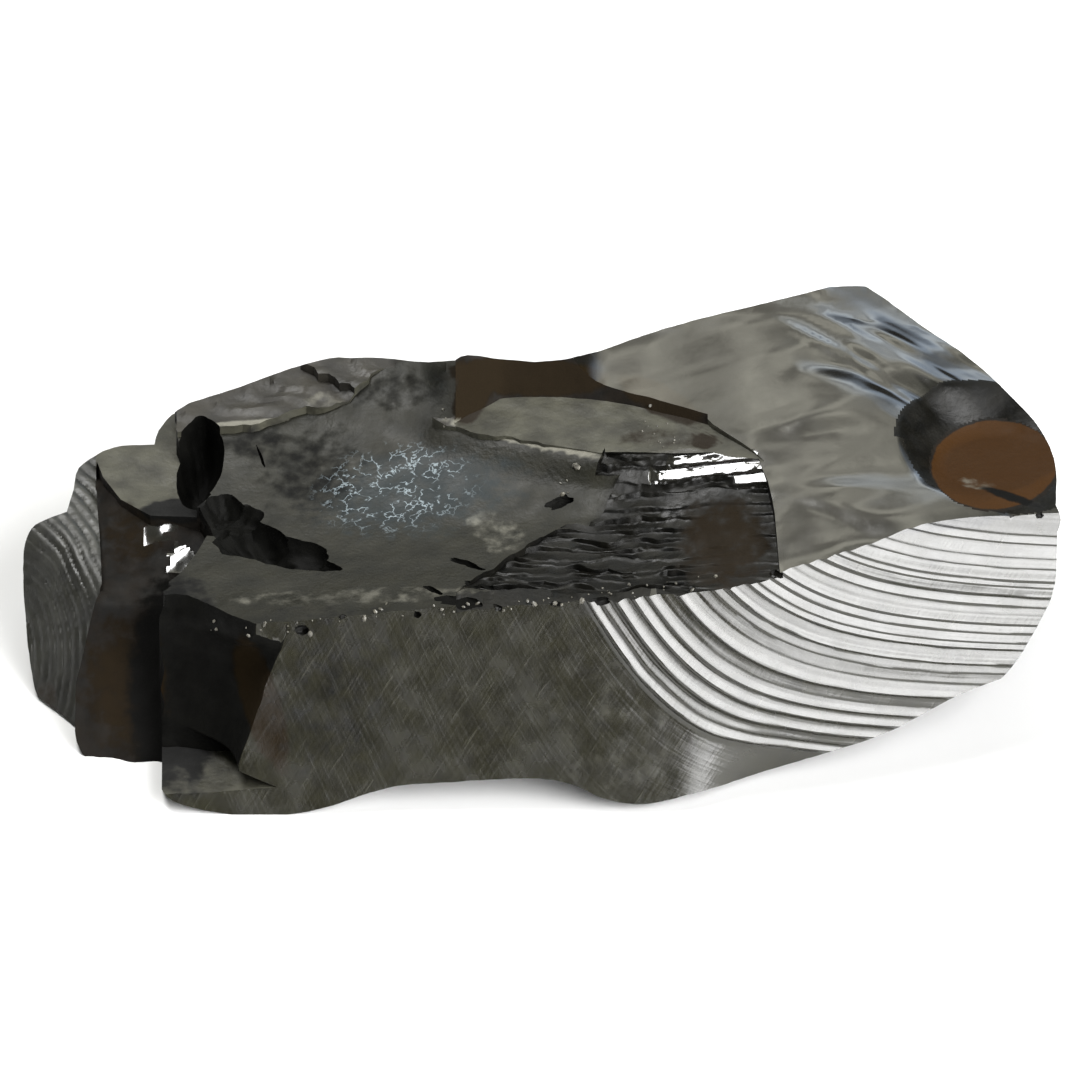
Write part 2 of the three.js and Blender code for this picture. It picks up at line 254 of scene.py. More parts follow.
def prism(name: str, plan: Plan, low: Array, high: Array, finish: Finish) -> bpy.types.Object:
    """A closed solid between two ends of the same outline.

    Args:
        name: Its name.
        plan: The outline laid flat, which tells the way round it runs.
        low: Corners of the lower end.
        high: Corners of the upper end.
        finish: Its finish.

    Returns:
        The solid.
    """
    count = len(plan)
    sides = [[i, (i + 1) % count, count + (i + 1) % count, count + i] for i in range(count)]
    faces = [list(range(count))[::-1], list(range(count, 2 * count)), *sides]
    area = sum(x0 * y1 - x1 * y0 for (x0, y0), (x1, y1) in zip(plan, [*plan[1:], plan[0]]))
    if area < 0:
        faces = [face[::-1] for face in faces]
    return solid(name, np.concatenate([low, high]), faces, finish)


def bent_block(name: str, near: Array, away: Sequence[float], finish: Finish) -> bpy.types.Object:
    """A closed block with one side bent to a face and the far side out of the stone's way.

    Args:
        name: Its name.
        near: Corners of the bent side, as rows and columns of points.
        away: From the bent side to the far side.
        finish: Its finish.

    Returns:
        The block, whose "near" attribute is 1 on the bent side.
    """
    rows, columns = near.shape[:2]
    index = np.arange(rows * columns).reshape(rows, columns)
    quads = np.stack([index[:-1, :-1], index[1:, :-1], index[1:, 1:], index[:-1, 1:]], -1).reshape(-1, 4)
    ring = np.concatenate([index[0, :-1], index[:-1, -1], index[-1, :0:-1], index[:0:-1, 0]])
    flat = near.reshape(-1, 3)
    off = np.asarray(away, float)
    rim = flat[ring] + off
    points = np.concatenate([flat, rim, rim.mean(0)[None]])
    far = np.arange(len(ring)) + len(flat)
    sides = np.stack([ring, np.roll(ring, -1), np.roll(far, -1), far], -1)
    cap = np.stack([far, np.roll(far, -1), np.full(len(far), len(points) - 1)], -1)
    faces = quads.tolist() + sides.tolist() + cap.tolist()
    across = np.cross(near[-1, 0] - near[0, 0], near[0, -1] - near[0, 0])
    if across @ off > 0:
        faces = [face[::-1] for face in faces]
    made = solid(name, points, faces, finish)
    store(made, "near", np.arange(len(points)) < len(flat))
    return made


def cut(stone: bpy.types.Object, tool: bpy.types.Object, how: str = "DIFFERENCE") -> None:
    """Takes a tool away from a solid, or keeps only what lies in both, and uses the tool up.

    Args:
        stone: The solid that changes.
        tool: The other solid.
        how: DIFFERENCE or INTERSECT.
    """
    step = stone.modifiers.new("cut", "BOOLEAN")
    step.solver = "MANIFOLD"
    step.operation = how
    step.object = tool
    settle(stone)
    bpy.data.objects.remove(tool)


def settle(made: bpy.types.Object) -> None:
    """Turns an object's modifiers into plain mesh.

    Args:
        made: The object, whose modifiers are removed.
    """
    graph = bpy.context.evaluated_depsgraph_get()
    graph.update()
    plain = bpy.data.meshes.new_from_object(made.evaluated_get(graph))
    made.modifiers.clear()
    made.data = plain


def ragged(plan: Plan, step: float, height: float, seed: int) -> list[tuple[float, float]]:
    """A broken edge: a plan's sides in short steps, each knocked out of line.

    Args:
        plan: Corners of a closed outline.
        step: Length of a step.
        height: How far a step may stray.
        seed: Which breakage.

    Returns:
        Corners of the ragged outline.
    """
    corners = np.asarray(plan, float)
    out = []
    for start, end in zip(corners, np.roll(corners, -1, 0)):
        length = float(np.hypot(*(end - start)))
        outside = max(abs(start[0]), abs(end[0])) > RIGHT or max(start[1], end[1]) > BACK
        count = 1 if outside else max(1, round(length / step))
        t = np.arange(count)[:, None] / count
        side = start + (end - start) * t
        normal = np.array([end[1] - start[1], start[0] - end[0]]) / max(length, 1e-9)
        stray = rubble(side[:, 0] / 1.3, side[:, 1] / 1.3, seed, 3) * height
        if not outside:
            side = side + normal * stray[:, None]
        out += [(float(x), float(y)) for x, y in side]
    return out


def above(
    name: str, plan: Plan, floor: Face, cell: float, finish: Finish, wall: Finish | None = None
) -> bpy.types.Object:
    """Everything over a floor, inside a plan.

    Args:
        name: Its name.
        plan: Corners of the outline seen from above.
        floor: The floor's height at x and y.
        cell: Size of the floor's cells.
        finish: The floor's finish.
        wall: The finish of the walls round it, where it differs.

    Returns:
        The block.
    """
    low, high = (np.array([(x, y, z) for x, y in plan]) for z in (-FAR, FAR))
    column = prism(name + "_column", plan, low, high, wall or finish)
    (left, front, _), (right, back, _) = low.min(0), low.max(0)
    x, y = np.meshgrid(
        spaced(max(left, LEFT) - 1, min(right, RIGHT) + 1, cell),
        spaced(max(front, FRONT) - 1, min(back, BACK) + 1, cell),
    )
    over = bent_block(name, np.stack([x, y, floor(x, y)], -1), (0, 0, FAR), finish)
    cut(over, column, "INTERSECT")
    return over


def egg(
    name: str, at: Sequence[float], radii: Sequence[float], turn: float, facets: int, finish: Finish,
    rough: float = 0.0, seed: int = 0,
) -> bpy.types.Object:
    """An egg-shaped hollow, turned about the upright.

    Args:
        name: Its name.
        at: Its middle.
        radii: Its three half sizes.
        turn: Degrees about the upright.
        facets: Facets round its waist.
        finish: Its finish.
        rough: How far its wall strays, as a share of its size.
        seed: Which roughness.

    Returns:
        The hollow.
    """
    rings = facets // 2
    angles, heights = np.arange(facets) * 2 * math.pi / facets, np.arange(1, rings) * math.pi / rings
    a, h = np.meshgrid(angles, heights)
    ball = np.stack([np.sin(h) * np.cos(a), np.sin(h) * np.sin(a), np.cos(h)], -1).reshape(-1, 3)
    ball = np.concatenate([ball, [[0, 0, 1], [0, 0, -1]]])
    stray = 1 + rough * rubble(ball[:, 0] * 2 + 9 + ball[:, 2], ball[:, 1] * 2 + 9 - ball[:, 2], seed, 4)
    ball = ball * stray[:, None] * np.asarray(radii)
    c, s = math.cos(math.radians(turn)), math.sin(math.radians(turn))
    ball = ball @ np.array([[c, s, 0], [-s, c, 0], [0, 0, 1]]) + np.asarray(at)
    faces = []
    for ring in range(rings - 2):
        for k in range(facets):
            here, after = ring * facets + k, ring * facets + (k + 1) % facets
            faces.append([here, here + facets, after + facets, after])
    last = (rings - 2) * facets
    top, low = len(ball) - 2, len(ball) - 1
    for k in range(facets):
        after = (k + 1) % facets
        faces += [[k, after, top], [last + after, last + k, low]]
    return solid(name, ball, faces, finish)


def break_away(
    name: str, cell: float, at: Sequence[float], facing: Sequence[float], span: float, bow: float, seed: int,
    grain: float,
) -> bpy.types.Object:
    """Everything outside a broad, slightly bowed, weathered break.

    Args:
        name: Its name.
        cell: Size of its cells.
        at: A point of the break.
        facing: The way it looks.
        span: Its width.
        bow: How far it bows over that width.
        seed: Which roughness.
        grain: Height of its roughness.

    Returns:
        The block outside it.
    """
    out = np.asarray(facing, float) / np.linalg.norm(facing)
    along = np.array([1.0, 0, 0]) - out * out[0]
    if np.linalg.norm(along) < 0.5:
        along = np.array([0, 1.0, 0]) - out * out[1]
    along /= np.linalg.norm(along)
    side = np.cross(out, along)
    a, b = np.meshgrid(spaced(-span / 2, span / 2, cell), spaced(-span / 2, span / 2, cell))
    height = bow * np.minimum((a * a + b * b) / (span * span / 4), 1.6)
    height = height + grain * (lumps(a / 4, b / 4, seed) + 0.35 * rubble(a / 1.4, b / 2.2, seed + 9, 2))
    near = np.asarray(at) + a[..., None] * along + b[..., None] * side + height[..., None] * out
    return bent_block(name, near, out * FAR, Finish.HIDDEN)


def read(items: Any, what: str, kind: type) -> Array:
    """Reads one property of all items of a mesh.

    Args:
        items: The items, such as its vertices.
        what: The property.
        kind: The type of its numbers.

    Returns:
        The numbers, in one row.
    """
    values = np.empty(len(items) * (1 if what == "value" else 3), kind)
    items.foreach_get(what, values)
    return values


def drawn(points: Array) -> tuple[Array, Array]:
    """Where points lie across and up the plane of the outline."""
    return points[:, 0], points[:, 1] * math.cos(TIP) + points[:, 2] * math.sin(TIP)


def within(u: Array, v: Array, oval: tuple[float, float, float, float]) -> Array:
    """Whether places lie in an oval, which is given by its middle and half sizes."""
    return np.hypot((u - oval[0]) / oval[2], (v - oval[1]) / oval[3]) < 1


# ---- nodes ----
def add_node(
    tree: bpy.types.NodeTree, kind: str, how: dict[str, str] | str | None = None, *values: Any,
    out: int | str = 0, **links: Any,
) -> Any:
    """Adds a node with its settings and what its inputs take.

    Args:
        tree: The node tree.
        kind: The node's type.
        how: Its operation, or its properties.
        *values: A value or an output socket for each of its first inputs in turn.
        out: The wanted output.
        **links: The same for an input by name, or by number as i0, i1 and so on.

    Returns:
        The socket of the wanted output, where the node has one.
    """
    made = tree.nodes.new(kind)
    for key, value in ({"operation": how} if isinstance(how, str) else how or {}).items():
        setattr(made, key, value)
    named = {int(key[1:]) if key[1:].isdigit() else key.replace("_", " "): links[key] for key in links}
    for key, value in {**dict(enumerate(values)), **named}.items():
        if isinstance(value, bpy.types.NodeSocket):
            tree.links.new(value, made.inputs[key])
        else:
            made.inputs[key].default_value = value
    return made.outputs[out] if made.outputs else None


def new_tree(name: str, inputs: dict[str, tuple[str, Any]]) -> tuple[bpy.types.NodeTree, Any]:
    """Starts a Geometry Nodes tree with named inputs.

    Args:
        name: The tree's name.
        inputs: Each input's socket type and value, by name.

    Returns:
        The tree and its input node.
    """
    tree = bpy.data.node_groups.new(name, "GeometryNodeTree")
    tree.interface.new_socket("Geometry", in_out="INPUT", socket_type="NodeSocketGeometry")
    tree.interface.new_socket("Geometry", in_out="OUTPUT", socket_type="NodeSocketGeometry")
    for label, (kind, value) in inputs.items():
        socket = tree.interface.new_socket(label, in_out="INPUT", socket_type=kind)
        if value is not None:
            socket.default_value = value
    return tree, tree.nodes.new("NodeGroupInput")


def end_tree(tree: bpy.types.NodeTree, start: Any, shape: Any) -> None:
    """Ends a tree in plain mesh that wears the tree's material.

    Args:
        tree: The tree.
        start: Its input node.
        shape: The socket of the finished geometry.
    """
    real = add_node(tree, "GeometryNodeRealizeInstances", None, shape)
    worn = add_node(tree, "GeometryNodeSetMaterial", Geometry=real, Material=start.outputs["Material"])
    add_node(tree, "NodeGroupOutput", None, worn)


def push_out(tree: bpy.types.NodeTree, start: Any, height: Any) -> None:
    """Ends a tree that moves the bent side of a block along the tree's direction.

    Args:
        tree: The tree.
        start: Its input node.
        height: The socket that says how far each point moves.
    """
    near = add_node(tree, NAMED, NUMBER, Name="near")
    height = add_node(tree, MATH, "MULTIPLY", height, near)
    move = add_node(tree, VECTOR, "SCALE", start.outputs["Direction"], Scale=height)
    moved = add_node(tree, "GeometryNodeSetPosition", Geometry=start.outputs["Geometry"], Offset=move)
    end_tree(tree, start, moved)


def grow(made: bpy.types.Object, tree: bpy.types.NodeTree, values: dict[str, Any]) -> None:
    """Runs a Geometry Nodes tree on an object and keeps the result as plain mesh.

    Args:
        made: The object.
        tree: The tree.
        values: Each input's value, by name.
    """
    step = made.modifiers.new(tree.name, "NODES")
    step.node_group = tree
    for item in tree.interface.items_tree:
        if item.item_type == "SOCKET" and item.in_out == "INPUT" and item.name in values:
            step[item.identifier] = values[item.name]
    settle(made)


def relief_tree() -> bpy.types.NodeTree:
    """The fine relief of a fracture: a grain of small lumps and long streaks that run one way.

    Returns:
        The tree, which moves the bent side of a block along one direction.
    """
    tree, start = new_tree("fracture_relief", {
        "Direction": ("NodeSocketVector", (0, 0, 1)),
        "Grain height": ("NodeSocketFloat", 0.05),
        "Grain size": ("NodeSocketFloat", 1.0),
        "Streak height": ("NodeSocketFloat", 0.0),
        "Streak turn": ("NodeSocketFloat", 0.0),
        "Streak width": ("NodeSocketFloat", 1.0),
        "Streak length": ("NodeSocketFloat", 6.0),
        "Seed": ("NodeSocketFloat", 0.0),
        "Material": ("NodeSocketMaterial", None),
    })
    given, seeded = start.outputs, {"noise_dimensions": "4D"}
    here = add_node(tree, "GeometryNodeInputPosition")
    size = add_node(tree, MATH, "DIVIDE", 1.0, given["Grain size"])
    grain = add_node(tree, NOISE, seeded, Vector=here, W=given["Seed"], Scale=size, Detail=3.0)
    grain = add_node(tree, MATH, "SUBTRACT", grain, 0.5)
    flat = {"rotation_type": "Z_AXIS"}
    turned = add_node(tree, "ShaderNodeVectorRotate", flat, Vector=here, Angle=given["Streak turn"])
    long = add_node(tree, MATH, "DIVIDE", 1.0, given["Streak length"])
    wide = add_node(tree, MATH, "DIVIDE", 1.0, given["Streak width"])
    scale = add_node(tree, "ShaderNodeCombineXYZ", None, long, wide, wide)
    stretched = add_node(tree, VECTOR, "MULTIPLY", turned, scale)
    streak = add_node(tree, NOISE, seeded, Vector=stretched, W=given["Seed"], Scale=1.0, Detail=2.0)
    streak = add_node(tree, MATH, "SUBTRACT", streak, 0.5)
    grain = add_node(tree, MATH, "MULTIPLY", grain, given["Grain height"])
    streak = add_node(tree, MATH, "MULTIPLY", streak, given["Streak height"])
    height = add_node(tree, MATH, "ADD", grain, streak)
    push_out(tree, start, add_node(tree, MATH, "MULTIPLY", height, 2.0))
    return tree


@dataclass(frozen=True)
class Relief:
    """How finely a fracture is worked, in millimetres and degrees."""

    grain: float = 0.05
    size: float = 1.0
    streak: float = 0.0
    turn: float = 0.0
    width: float = 1.0
    length: float = 6.0
    seed: float = 0.0
    toward: tuple[float, float, float] = (0, 0, 1)

    def work(self, made: bpy.types.Object, tree: bpy.types.NodeTree) -> bpy.types.Object:
        """Works the relief into a block.

        Args:
            made: The block.
            tree: The relief tree.

        Returns:
            The same block.
        """
        grow(made, tree, {
            "Direction": self.toward,
            "Grain height": self.grain,
            "Grain size": self.size,
            "Streak height": self.streak,
            "Streak turn": math.radians(self.turn),
            "Streak width": self.width,
            "Streak length": self.length,
            "Seed": self.seed,
        })
        return made


# ---- the blank: the outline, drawn across (u) and up (v) its own plane ----
@dataclass
class Blank:
    """The stone before it was broken: its outline, drawn through and stood on the table.

    Each row of the outline is one smooth stretch, with a corner where two rows meet.
    """

    stray: float = 0.09
    stretches: tuple = (
        ((-36.5, 2.8), (-38.1, 2.2), (-39.2, 1.5), (-39.8, -0.2), (-39.8, -3.2), (-39.5, -7.1),
         (-38.9, -10.9), (-38.3, -11.7), (-36.9, -12.7), (-35.8, -13.7)),
        ((-35.8, -13.7), (-35.4, -15.4), (-34.4, -16.4), (-32.3, -16.5), (-30.2, -16.8), (-29.3, -17.3)),
        ((-29.3, -17.3), (-28.9, -18.7), (-27.6, -19.6), (-25, -20.2), (-21.2, -20.6), (-16.9, -20),
         (-13.5, -18.9), (-10.8, -18.2), (-7.7, -18), (-3.1, -17.7), (0.4, -17.7), (2.7, -18.2), (4.6, -19.1),
         (6.9, -19.6), (8.9, -19.5), (11.5, -18.9), (13.9, -18.2), (16.9, -17.2), (20, -16.3), (24.6, -14.9),
         (27.7, -13.7)),
        ((27.7, -13.7), (29.6, -12.6), (32.3, -11.2), (35.4, -10)),
        ((35.4, -10), (36.5, -8.8), (37.9, -6.5), (39.1, -4.2), (39.6, -2.1), (39.7, 1.2)),
        ((39.7, 1.2), (40, 2.2), (39.6, 3.3)),
        ((39.6, 3.3), (39.7, 5.2), (39.4, 7.4), (38.3, 9.5), (35.8, 12.2), (33.1, 14.7), (30, 16.8),
         (26.9, 19.1), (25.4, 20.1)),
        ((25.4, 20.1), (24.6, 20.5), (23.7, 20.5), (18.5, 19.2), (12.3, 17.7), (8.5, 16.6), (4.6, 15.2)),
        ((4.6, 15.2), (1.9, 14.6), (-0.4, 14.4), (-3.1, 14.6), (-5.6, 14.9), (-6.5, 14.5)),
        ((-6.5, 14.5), (-9.2, 14.4), (-12.3, 14.7), (-14.5, 14.7), (-16.2, 14.7), (-19.2, 13.9),
         (-23.1, 12.5), (-27.1, 11.2)),
        ((-27.1, 11.2), (-28.5, 10.3), (-29.5, 9.1), (-29.8, 8)),
        ((-29.8, 8), (-32.3, 7.9), (-33.8, 7.5)),
        ((-33.8, 7.5), (-35.6, 6.2), (-36, 4.5), (-36.5, 2.8)),
    )

    def outline(self) -> Array:
        """The outline as close corners.

        Returns:
            One row of u and v for each corner.
        """
        rows = []
        for stretch in self.stretches:
            points = np.asarray(stretch, float)
            ends = np.concatenate([2 * points[:1] - points[1:2], points, 2 * points[-1:] - points[-2:-1]])
            for k in range(len(points) - 1):
                a, b, c, d = ends[k : k + 4]
                count = max(2, round(float(np.hypot(*(c - b))) / 0.5))
                t = (np.arange(count) / count)[:, None]
                bend = 2 * b + (c - a) * t + (2 * a - 5 * b + 4 * c - d) * t**2
                rows.append((bend + (3 * b - a - 3 * c + d) * t**3) / 2)
        line = np.concatenate(rows)
        fine = rubble(line[:, 0] / 1.1, line[:, 1] / 1.1, 40) * self.stray
        return line * (1 - (np.abs(fine) / np.hypot(line[:, 0], line[:, 1]))[:, None])

    def build(self) -> bpy.types.Object:
        """Makes the blank.

        Returns:
            The solid, flat on the table.
        """
        line = self.outline()
        up, out = np.array([0, math.cos(TIP), math.sin(TIP)]), np.array([0, -math.sin(TIP), math.cos(TIP)])
        flat = line[:, :1] * np.array([1.0, 0, 0]) + line[:, 1:] * up
        stone = prism("shungite_stone_dressed", line, flat - FAR * out, flat + FAR * out, Finish.HIDDEN)
        plan = square(99)
        low, high = (np.array([(x, y, z) for x, y in plan]) for z in (-120, 0))
        cut(stone, prism("table", plan, low, high, Finish.HIDDEN))
        return stone


# ---- the ribbed front face ----
def ribs_tree(lines: Sequence[tuple[float, float]]) -> bpy.types.NodeTree:
    """The ribs of a crack front: at each line the face steps out, then it sinks back to the next.

    Args:
        lines: Each rib's rank and how strong it is.

    Returns:
        The tree, which moves points along one direction by their "rank".
    """
    tree, start = new_tree("crack_front_ribs", {
        "Direction": ("NodeSocketVector", (0, -1, 0)),
        "Rib height": ("NodeSocketFloat", 0.2),
        "Rib width": ("NodeSocketFloat", 0.25),
        "Waver height": ("NodeSocketFloat", 0.1),
        "Waver size": ("NodeSocketFloat", 4.0),
        "Material": ("NodeSocketMaterial", None),
    })
    given = start.outputs
    here = add_node(tree, "GeometryNodeInputPosition")
    size = add_node(tree, MATH, "DIVIDE", 1.0, given["Waver size"])
    waver = add_node(tree, NOISE, Vector=here, Scale=size, Detail=2.0)
    waver = add_node(tree, MATH, "SUBTRACT", waver, 0.5)
    waver = add_node(tree, MATH, "MULTIPLY", waver, 2.0)
    waver = add_node(tree, MATH, "MULTIPLY", waver, given["Waver height"])
    rank = add_node(tree, MATH, "ADD", add_node(tree, NAMED, NUMBER, Name="rank"), waver)
    total: Any = 0.0
    longest, crest = 2.2, 0.4  # the longest slope behind a rib, and how far its sharp crest reaches
    following = [line for line, _ in lines[1:]] + [lines[-1][0] + 2]
    for (line, strength), after in zip(lines, following):
        past = add_node(tree, MATH, "SUBTRACT", rank, line)
        back = add_node(tree, MATH, "MULTIPLY", given["Rib width"], -0.35 - strength)
        step = add_node(tree, RANGE, SMOOTH, Value=past, From_Min=back, From_Max=0.0)
        slope = {"Value": past, "To_Max": 0.0}
        climb = add_node(tree, RANGE, **slope, From_Max=min(after - line, longest), To_Min=strength)
        sharp = add_node(tree, RANGE, **slope, From_Max=crest, To_Min=crest * strength)
        climb = add_node(tree, MATH, "ADD", climb, sharp)
        climb = add_node(tree, MATH, "MULTIPLY", step, climb)
        total = add_node(tree, MATH, "ADD", total, climb)
    push_out(tree, start, add_node(tree, MATH, "MULTIPLY", total, given["Rib height"]))
    return tree


@dataclass
class FrontFace:
    """The broad leaning face, ribbed at the right by the fronts of one travelling crack."""

    y: float = -29.0
    z: float = 15.0
    lean: float = 0.44
    turn_x: float = 16.0
    turn_slope: float = 0.4
    turn_soft: float = 3.6
    heading: float = math.radians(57)
    middle: float = -16.8
    elbow: float = 8.2
    spread: float = 0.72
    bow: float = 0.006
    round_under: float = 0.024
    rib_height: float = 0.2
    rib_width: float = 0.34
    lines: tuple = (
        (-4.6, 1.5), (-3.7, 0.8), (-2.5, 1.7), (-1.15, 1.5), (0.0, 1.1), (0.9, 0.2), (2.1, 1.3),
        (3.3, 0.25), (4.3, 0.3), (5.3, 0.9), (5.8, 0.25), (6.7, 0.9), (7.3, 0.8), (8.1, 0.7),
        (8.9, 0.9), (9.6, 0.25), (10.4, 0.6), (11.4, 1.2), (12.1, 0.7), (12.7, 1.0), (13.6, 0.5),
        (14.4, 0.3), (15.6, 0.5), (16.3, 0.3),
    )
    chips: tuple = (
        (-24.6, -5.6, 0.8), (-18.3, -6.3, 0.9), (-15.2, -5.2, 0.6), (-9.4, -5.1, 0.7),
        (-3.2, -4.6, 0.6), (1.2, -4.2, 0.7), (4.7, -4, 0.9), (8.5, -3.6, 0.7), (11.4, -3.1, 0.8),
        (14.2, -2.4, 0.6), (18, -1.9, 1), (21.6, -0.2, 0.5), (33.8, 2.3, 0.6), (36.2, 2.4, 0.9),
        (38.3, 2.4, 0.8),
    )

    def depth(self, x: Array) -> Array:
        """The face's y at the height z, which turns back at the right."""
        turned = np.log1p(np.exp((x - self.turn_x) / self.turn_soft))
        return self.y + self.turn_slope * self.turn_soft * turned

    def point(self, u: Array, v: Array) -> Array:
        """The point of the face that shows at a place of the outline's plane.

        Args:
            u: Across the outline's plane.
            v: Up it.

        Returns:
            The points, in a last axis of three.
        """
        foot = self.depth(u) - self.lean * self.z
        z = (v - foot * math.cos(TIP)) / (math.sin(TIP) + self.lean * math.cos(TIP))
        return np.stack([u, foot + self.lean * z, z], -1)

    def rank(self, u: Array, v: Array) -> tuple[Array, Array]:
        """How far ahead the crack front was at a place, and how far across it the place lies.

        Args:
            u: Across the outline's plane.
            v: Up it.

        Returns:
            The rank and the distance across.
        """
        ahead = u * math.cos(self.heading) + v * math.sin(self.heading)
        across = v * math.cos(self.heading) - u * math.sin(self.heading)
        return ahead + self.elbow - np.hypot(self.elbow, self.spread * (across - self.middle)), across

    def tools(self, relief: bpy.types.NodeTree) -> list[bpy.types.Object]:
        """Makes what the break and its chips took away.

        Args:
            relief: The relief tree.

        Returns:
            The blocks.
        """
        ranks = np.concatenate([
            spaced(-48, -9, 0.7)[:-1], spaced(-9, -5, 0.3)[:-1], spaced(-5, 17, 0.11)[:-1], spaced(17, 30, 2),
        ])
        rank, across = np.meshgrid(ranks, spaced(-62, 22, 0.7))
        ahead = rank + np.hypot(self.elbow, self.spread * (across - self.middle)) - self.elbow
        u = ahead * math.cos(self.heading) - across * math.sin(self.heading)
        v = ahead * math.sin(self.heading) + across * math.cos(self.heading)
        near = self.point(np.clip(u, -70, 70), v)
        near[..., 1] += self.bow * np.clip((rank + 5) * (rank - 13), None, 60) * (rank > -5)
        near[..., 1] += self.round_under * np.clip(-8 - v, 0, 12) ** 2 * ease(u, 11, 19)
        block = bent_block("ribbed_break", near, (0, -FAR, 0), Finish.RIBBED)
        place = np.zeros(len(block.data.vertices))
        place[: rank.size] = rank.ravel()
        store(block, "rank", place)
        grow(block, ribs_tree(self.lines), {"Rib height": self.rib_height, "Rib width": self.rib_width})
        Relief(0.02, 1.4, 0.05, 30, 1.2, 7, 3, (0, -1, 0)).work(block, relief)
        made = [block]
        for k, (u0, v0, radius) in enumerate(self.chips):
            at = self.point(np.float64(u0), np.float64(v0))
            size = (radius * 0.8, radius * 0.45, radius * 0.4)
            made.append(egg(f"chip_{k}", at, size, 31 * k, 12, Finish.HACKLED, 0.4, k))
        return made


# ---- the glassy top and its dish ----
@dataclass
class GlassyTop:
    """The smooth conchoidal break at the right, which rises from the front edge to the top corner."""

    rise: Slope = Slope(18, 20, -26, 0.2, 0.16)
    fall: Slope = Slope(17.6, 31, -22, -0.2, 0.13)
    facet: Slope = Slope(20.94, 23.8, -7.4, -0.2, -0.02)
    left: Slope = Slope(19.6, -3, -3, -0.1, 0.1)
    behind: Slope = Slope(22.2, 23, -6.3, -0.24, 0.05)
    swell: float = 0.23
    start: tuple[float, float] = (17.5, -18.5)  # where the crack began, from which the fan spreads
    groove: tuple[float, float] = (21.5, -3.6)
    groove_run: tuple[float, float] = (9, -3.6)
    groove_depth: float = 0.75
    groove_width: float = 1.5
    dish: Slope = Slope(16.6, 35.2, -12.2, 0.02, -0.14)
    dish_wide: float = 7.0
    dish_long: float = 7.3
    dish_wall: tuple[float, float] = (0.56, 1.12)

    def reach(self, x: Array, y: Array) -> Array:
        """How far out of the dish a place is: 0 in its middle and 1 at its rim."""
        return np.hypot((x - self.dish.x) / self.dish_wide, (y - self.dish.y) / self.dish_long)

    def height(self, x: Array, y: Array) -> Array:
        """The height of the break.

        Args:
            x: Along the stone.
            y: Across it.

        Returns:
            Its z.
        """
        left = self.left.at(x, y) + 1.7 * (1 - ease(x, 1, 5))
        fall = soft_min(self.fall.at(x, y), self.facet.at(x, y), 0.5)
        whole = soft_max(soft_min(self.rise.at(x, y), fall, 5), left, 2)
        whole = soft_min(whole, self.behind.at(x, y), 1.2)
        # Low swells, with a fan of them round the place where the crack began.
        ahead, aside = x - self.start[0], y - self.start[1]
        away, turn = np.hypot(ahead, aside), np.arctan2(aside, ahead)
        fan = lumps(turn * 3.4, away / 12, 21) * ease(away, 2, 7) * (1 - ease(away, 8, 16))
        swells = lumps((x + 0.6 * y) / 9, (y - 0.5 * x) / 5, 17) + 0.5 * fan
        swells = swells + 0.42 * lumps((x + 0.4 * y) / 8, (y - 0.3 * x) / 2.1, 18)
        streaks = lumps((x + 1.3 * y) / 1.5, (y - x) / 7, 19) * ease(x + 0.8 * y, 18, 22)
        whole = whole + self.swell * (swells + 0.5 * streaks) - 0.1
        # A groove that deepens towards the back corner.
        (x0, y0), (run_x, run_y) = self.groove, self.groove_run
        along = np.clip(((x - x0) * run_x + (y - y0) * run_y) / 94, 0, 1)
        aside = np.hypot(x - x0 - run_x * along, y - y0 - run_y * along)
        sink = self.groove_depth * (0.25 + 0.75 * along)
        whole = whole - sink * np.exp(-((aside / self.groove_width) ** 2))
        bottom, wall = self.dish.at(x, y), ease(self.reach(x, y), *self.dish_wall)
        return np.where(bottom < whole, whole * wall + bottom * (1 - wall), whole)

    def tools(self, relief: bpy.types.NodeTree) -> list[bpy.types.Object]:
        """Makes what the break and the dish took away.

        Args:
            relief: The relief tree.

        Returns:
            The blocks.
        """
        # The cells are small round the dish.
        xs = np.concatenate([spaced(LEFT, 24, 0.6)[:-1], spaced(24, RIGHT, 0.16)])
        ys = np.concatenate([spaced(FRONT, -26, 0.6)[:-1], spaced(-26, 2, 0.18)[:-1], spaced(2, 20, 1)])
        x, y = np.meshgrid(xs, ys)
        top = bent_block("glassy_break", np.stack([x, y, self.height(x, y)], -1), (0, 0, FAR), Finish.GLASSY)
        return [Relief(0.012, 2.5).work(top, relief)]


def row_block(
    name: str, rows: Sequence[dict[str, float]], columns: int, face: Callable[..., Array], finish: Finish
) -> bpy.types.Object:
    """A break drawn row by row from back to front, where each row holds its own left and right ends.

    Args:
        name: Its name.
        rows: What each row holds, with its left and right ends.
        columns: How many cells lie across.
        face: The points of one row, from its x values and what it holds.
        finish: Its finish.

    Returns:
        The block.
    """
    share = np.linspace(0, 1, columns + 1)
    near = np.stack([face(row["left"] + (row["right"] - row["left"]) * share, row) for row in rows])
    return bent_block(name, near, (0, 0, FAR), finish)


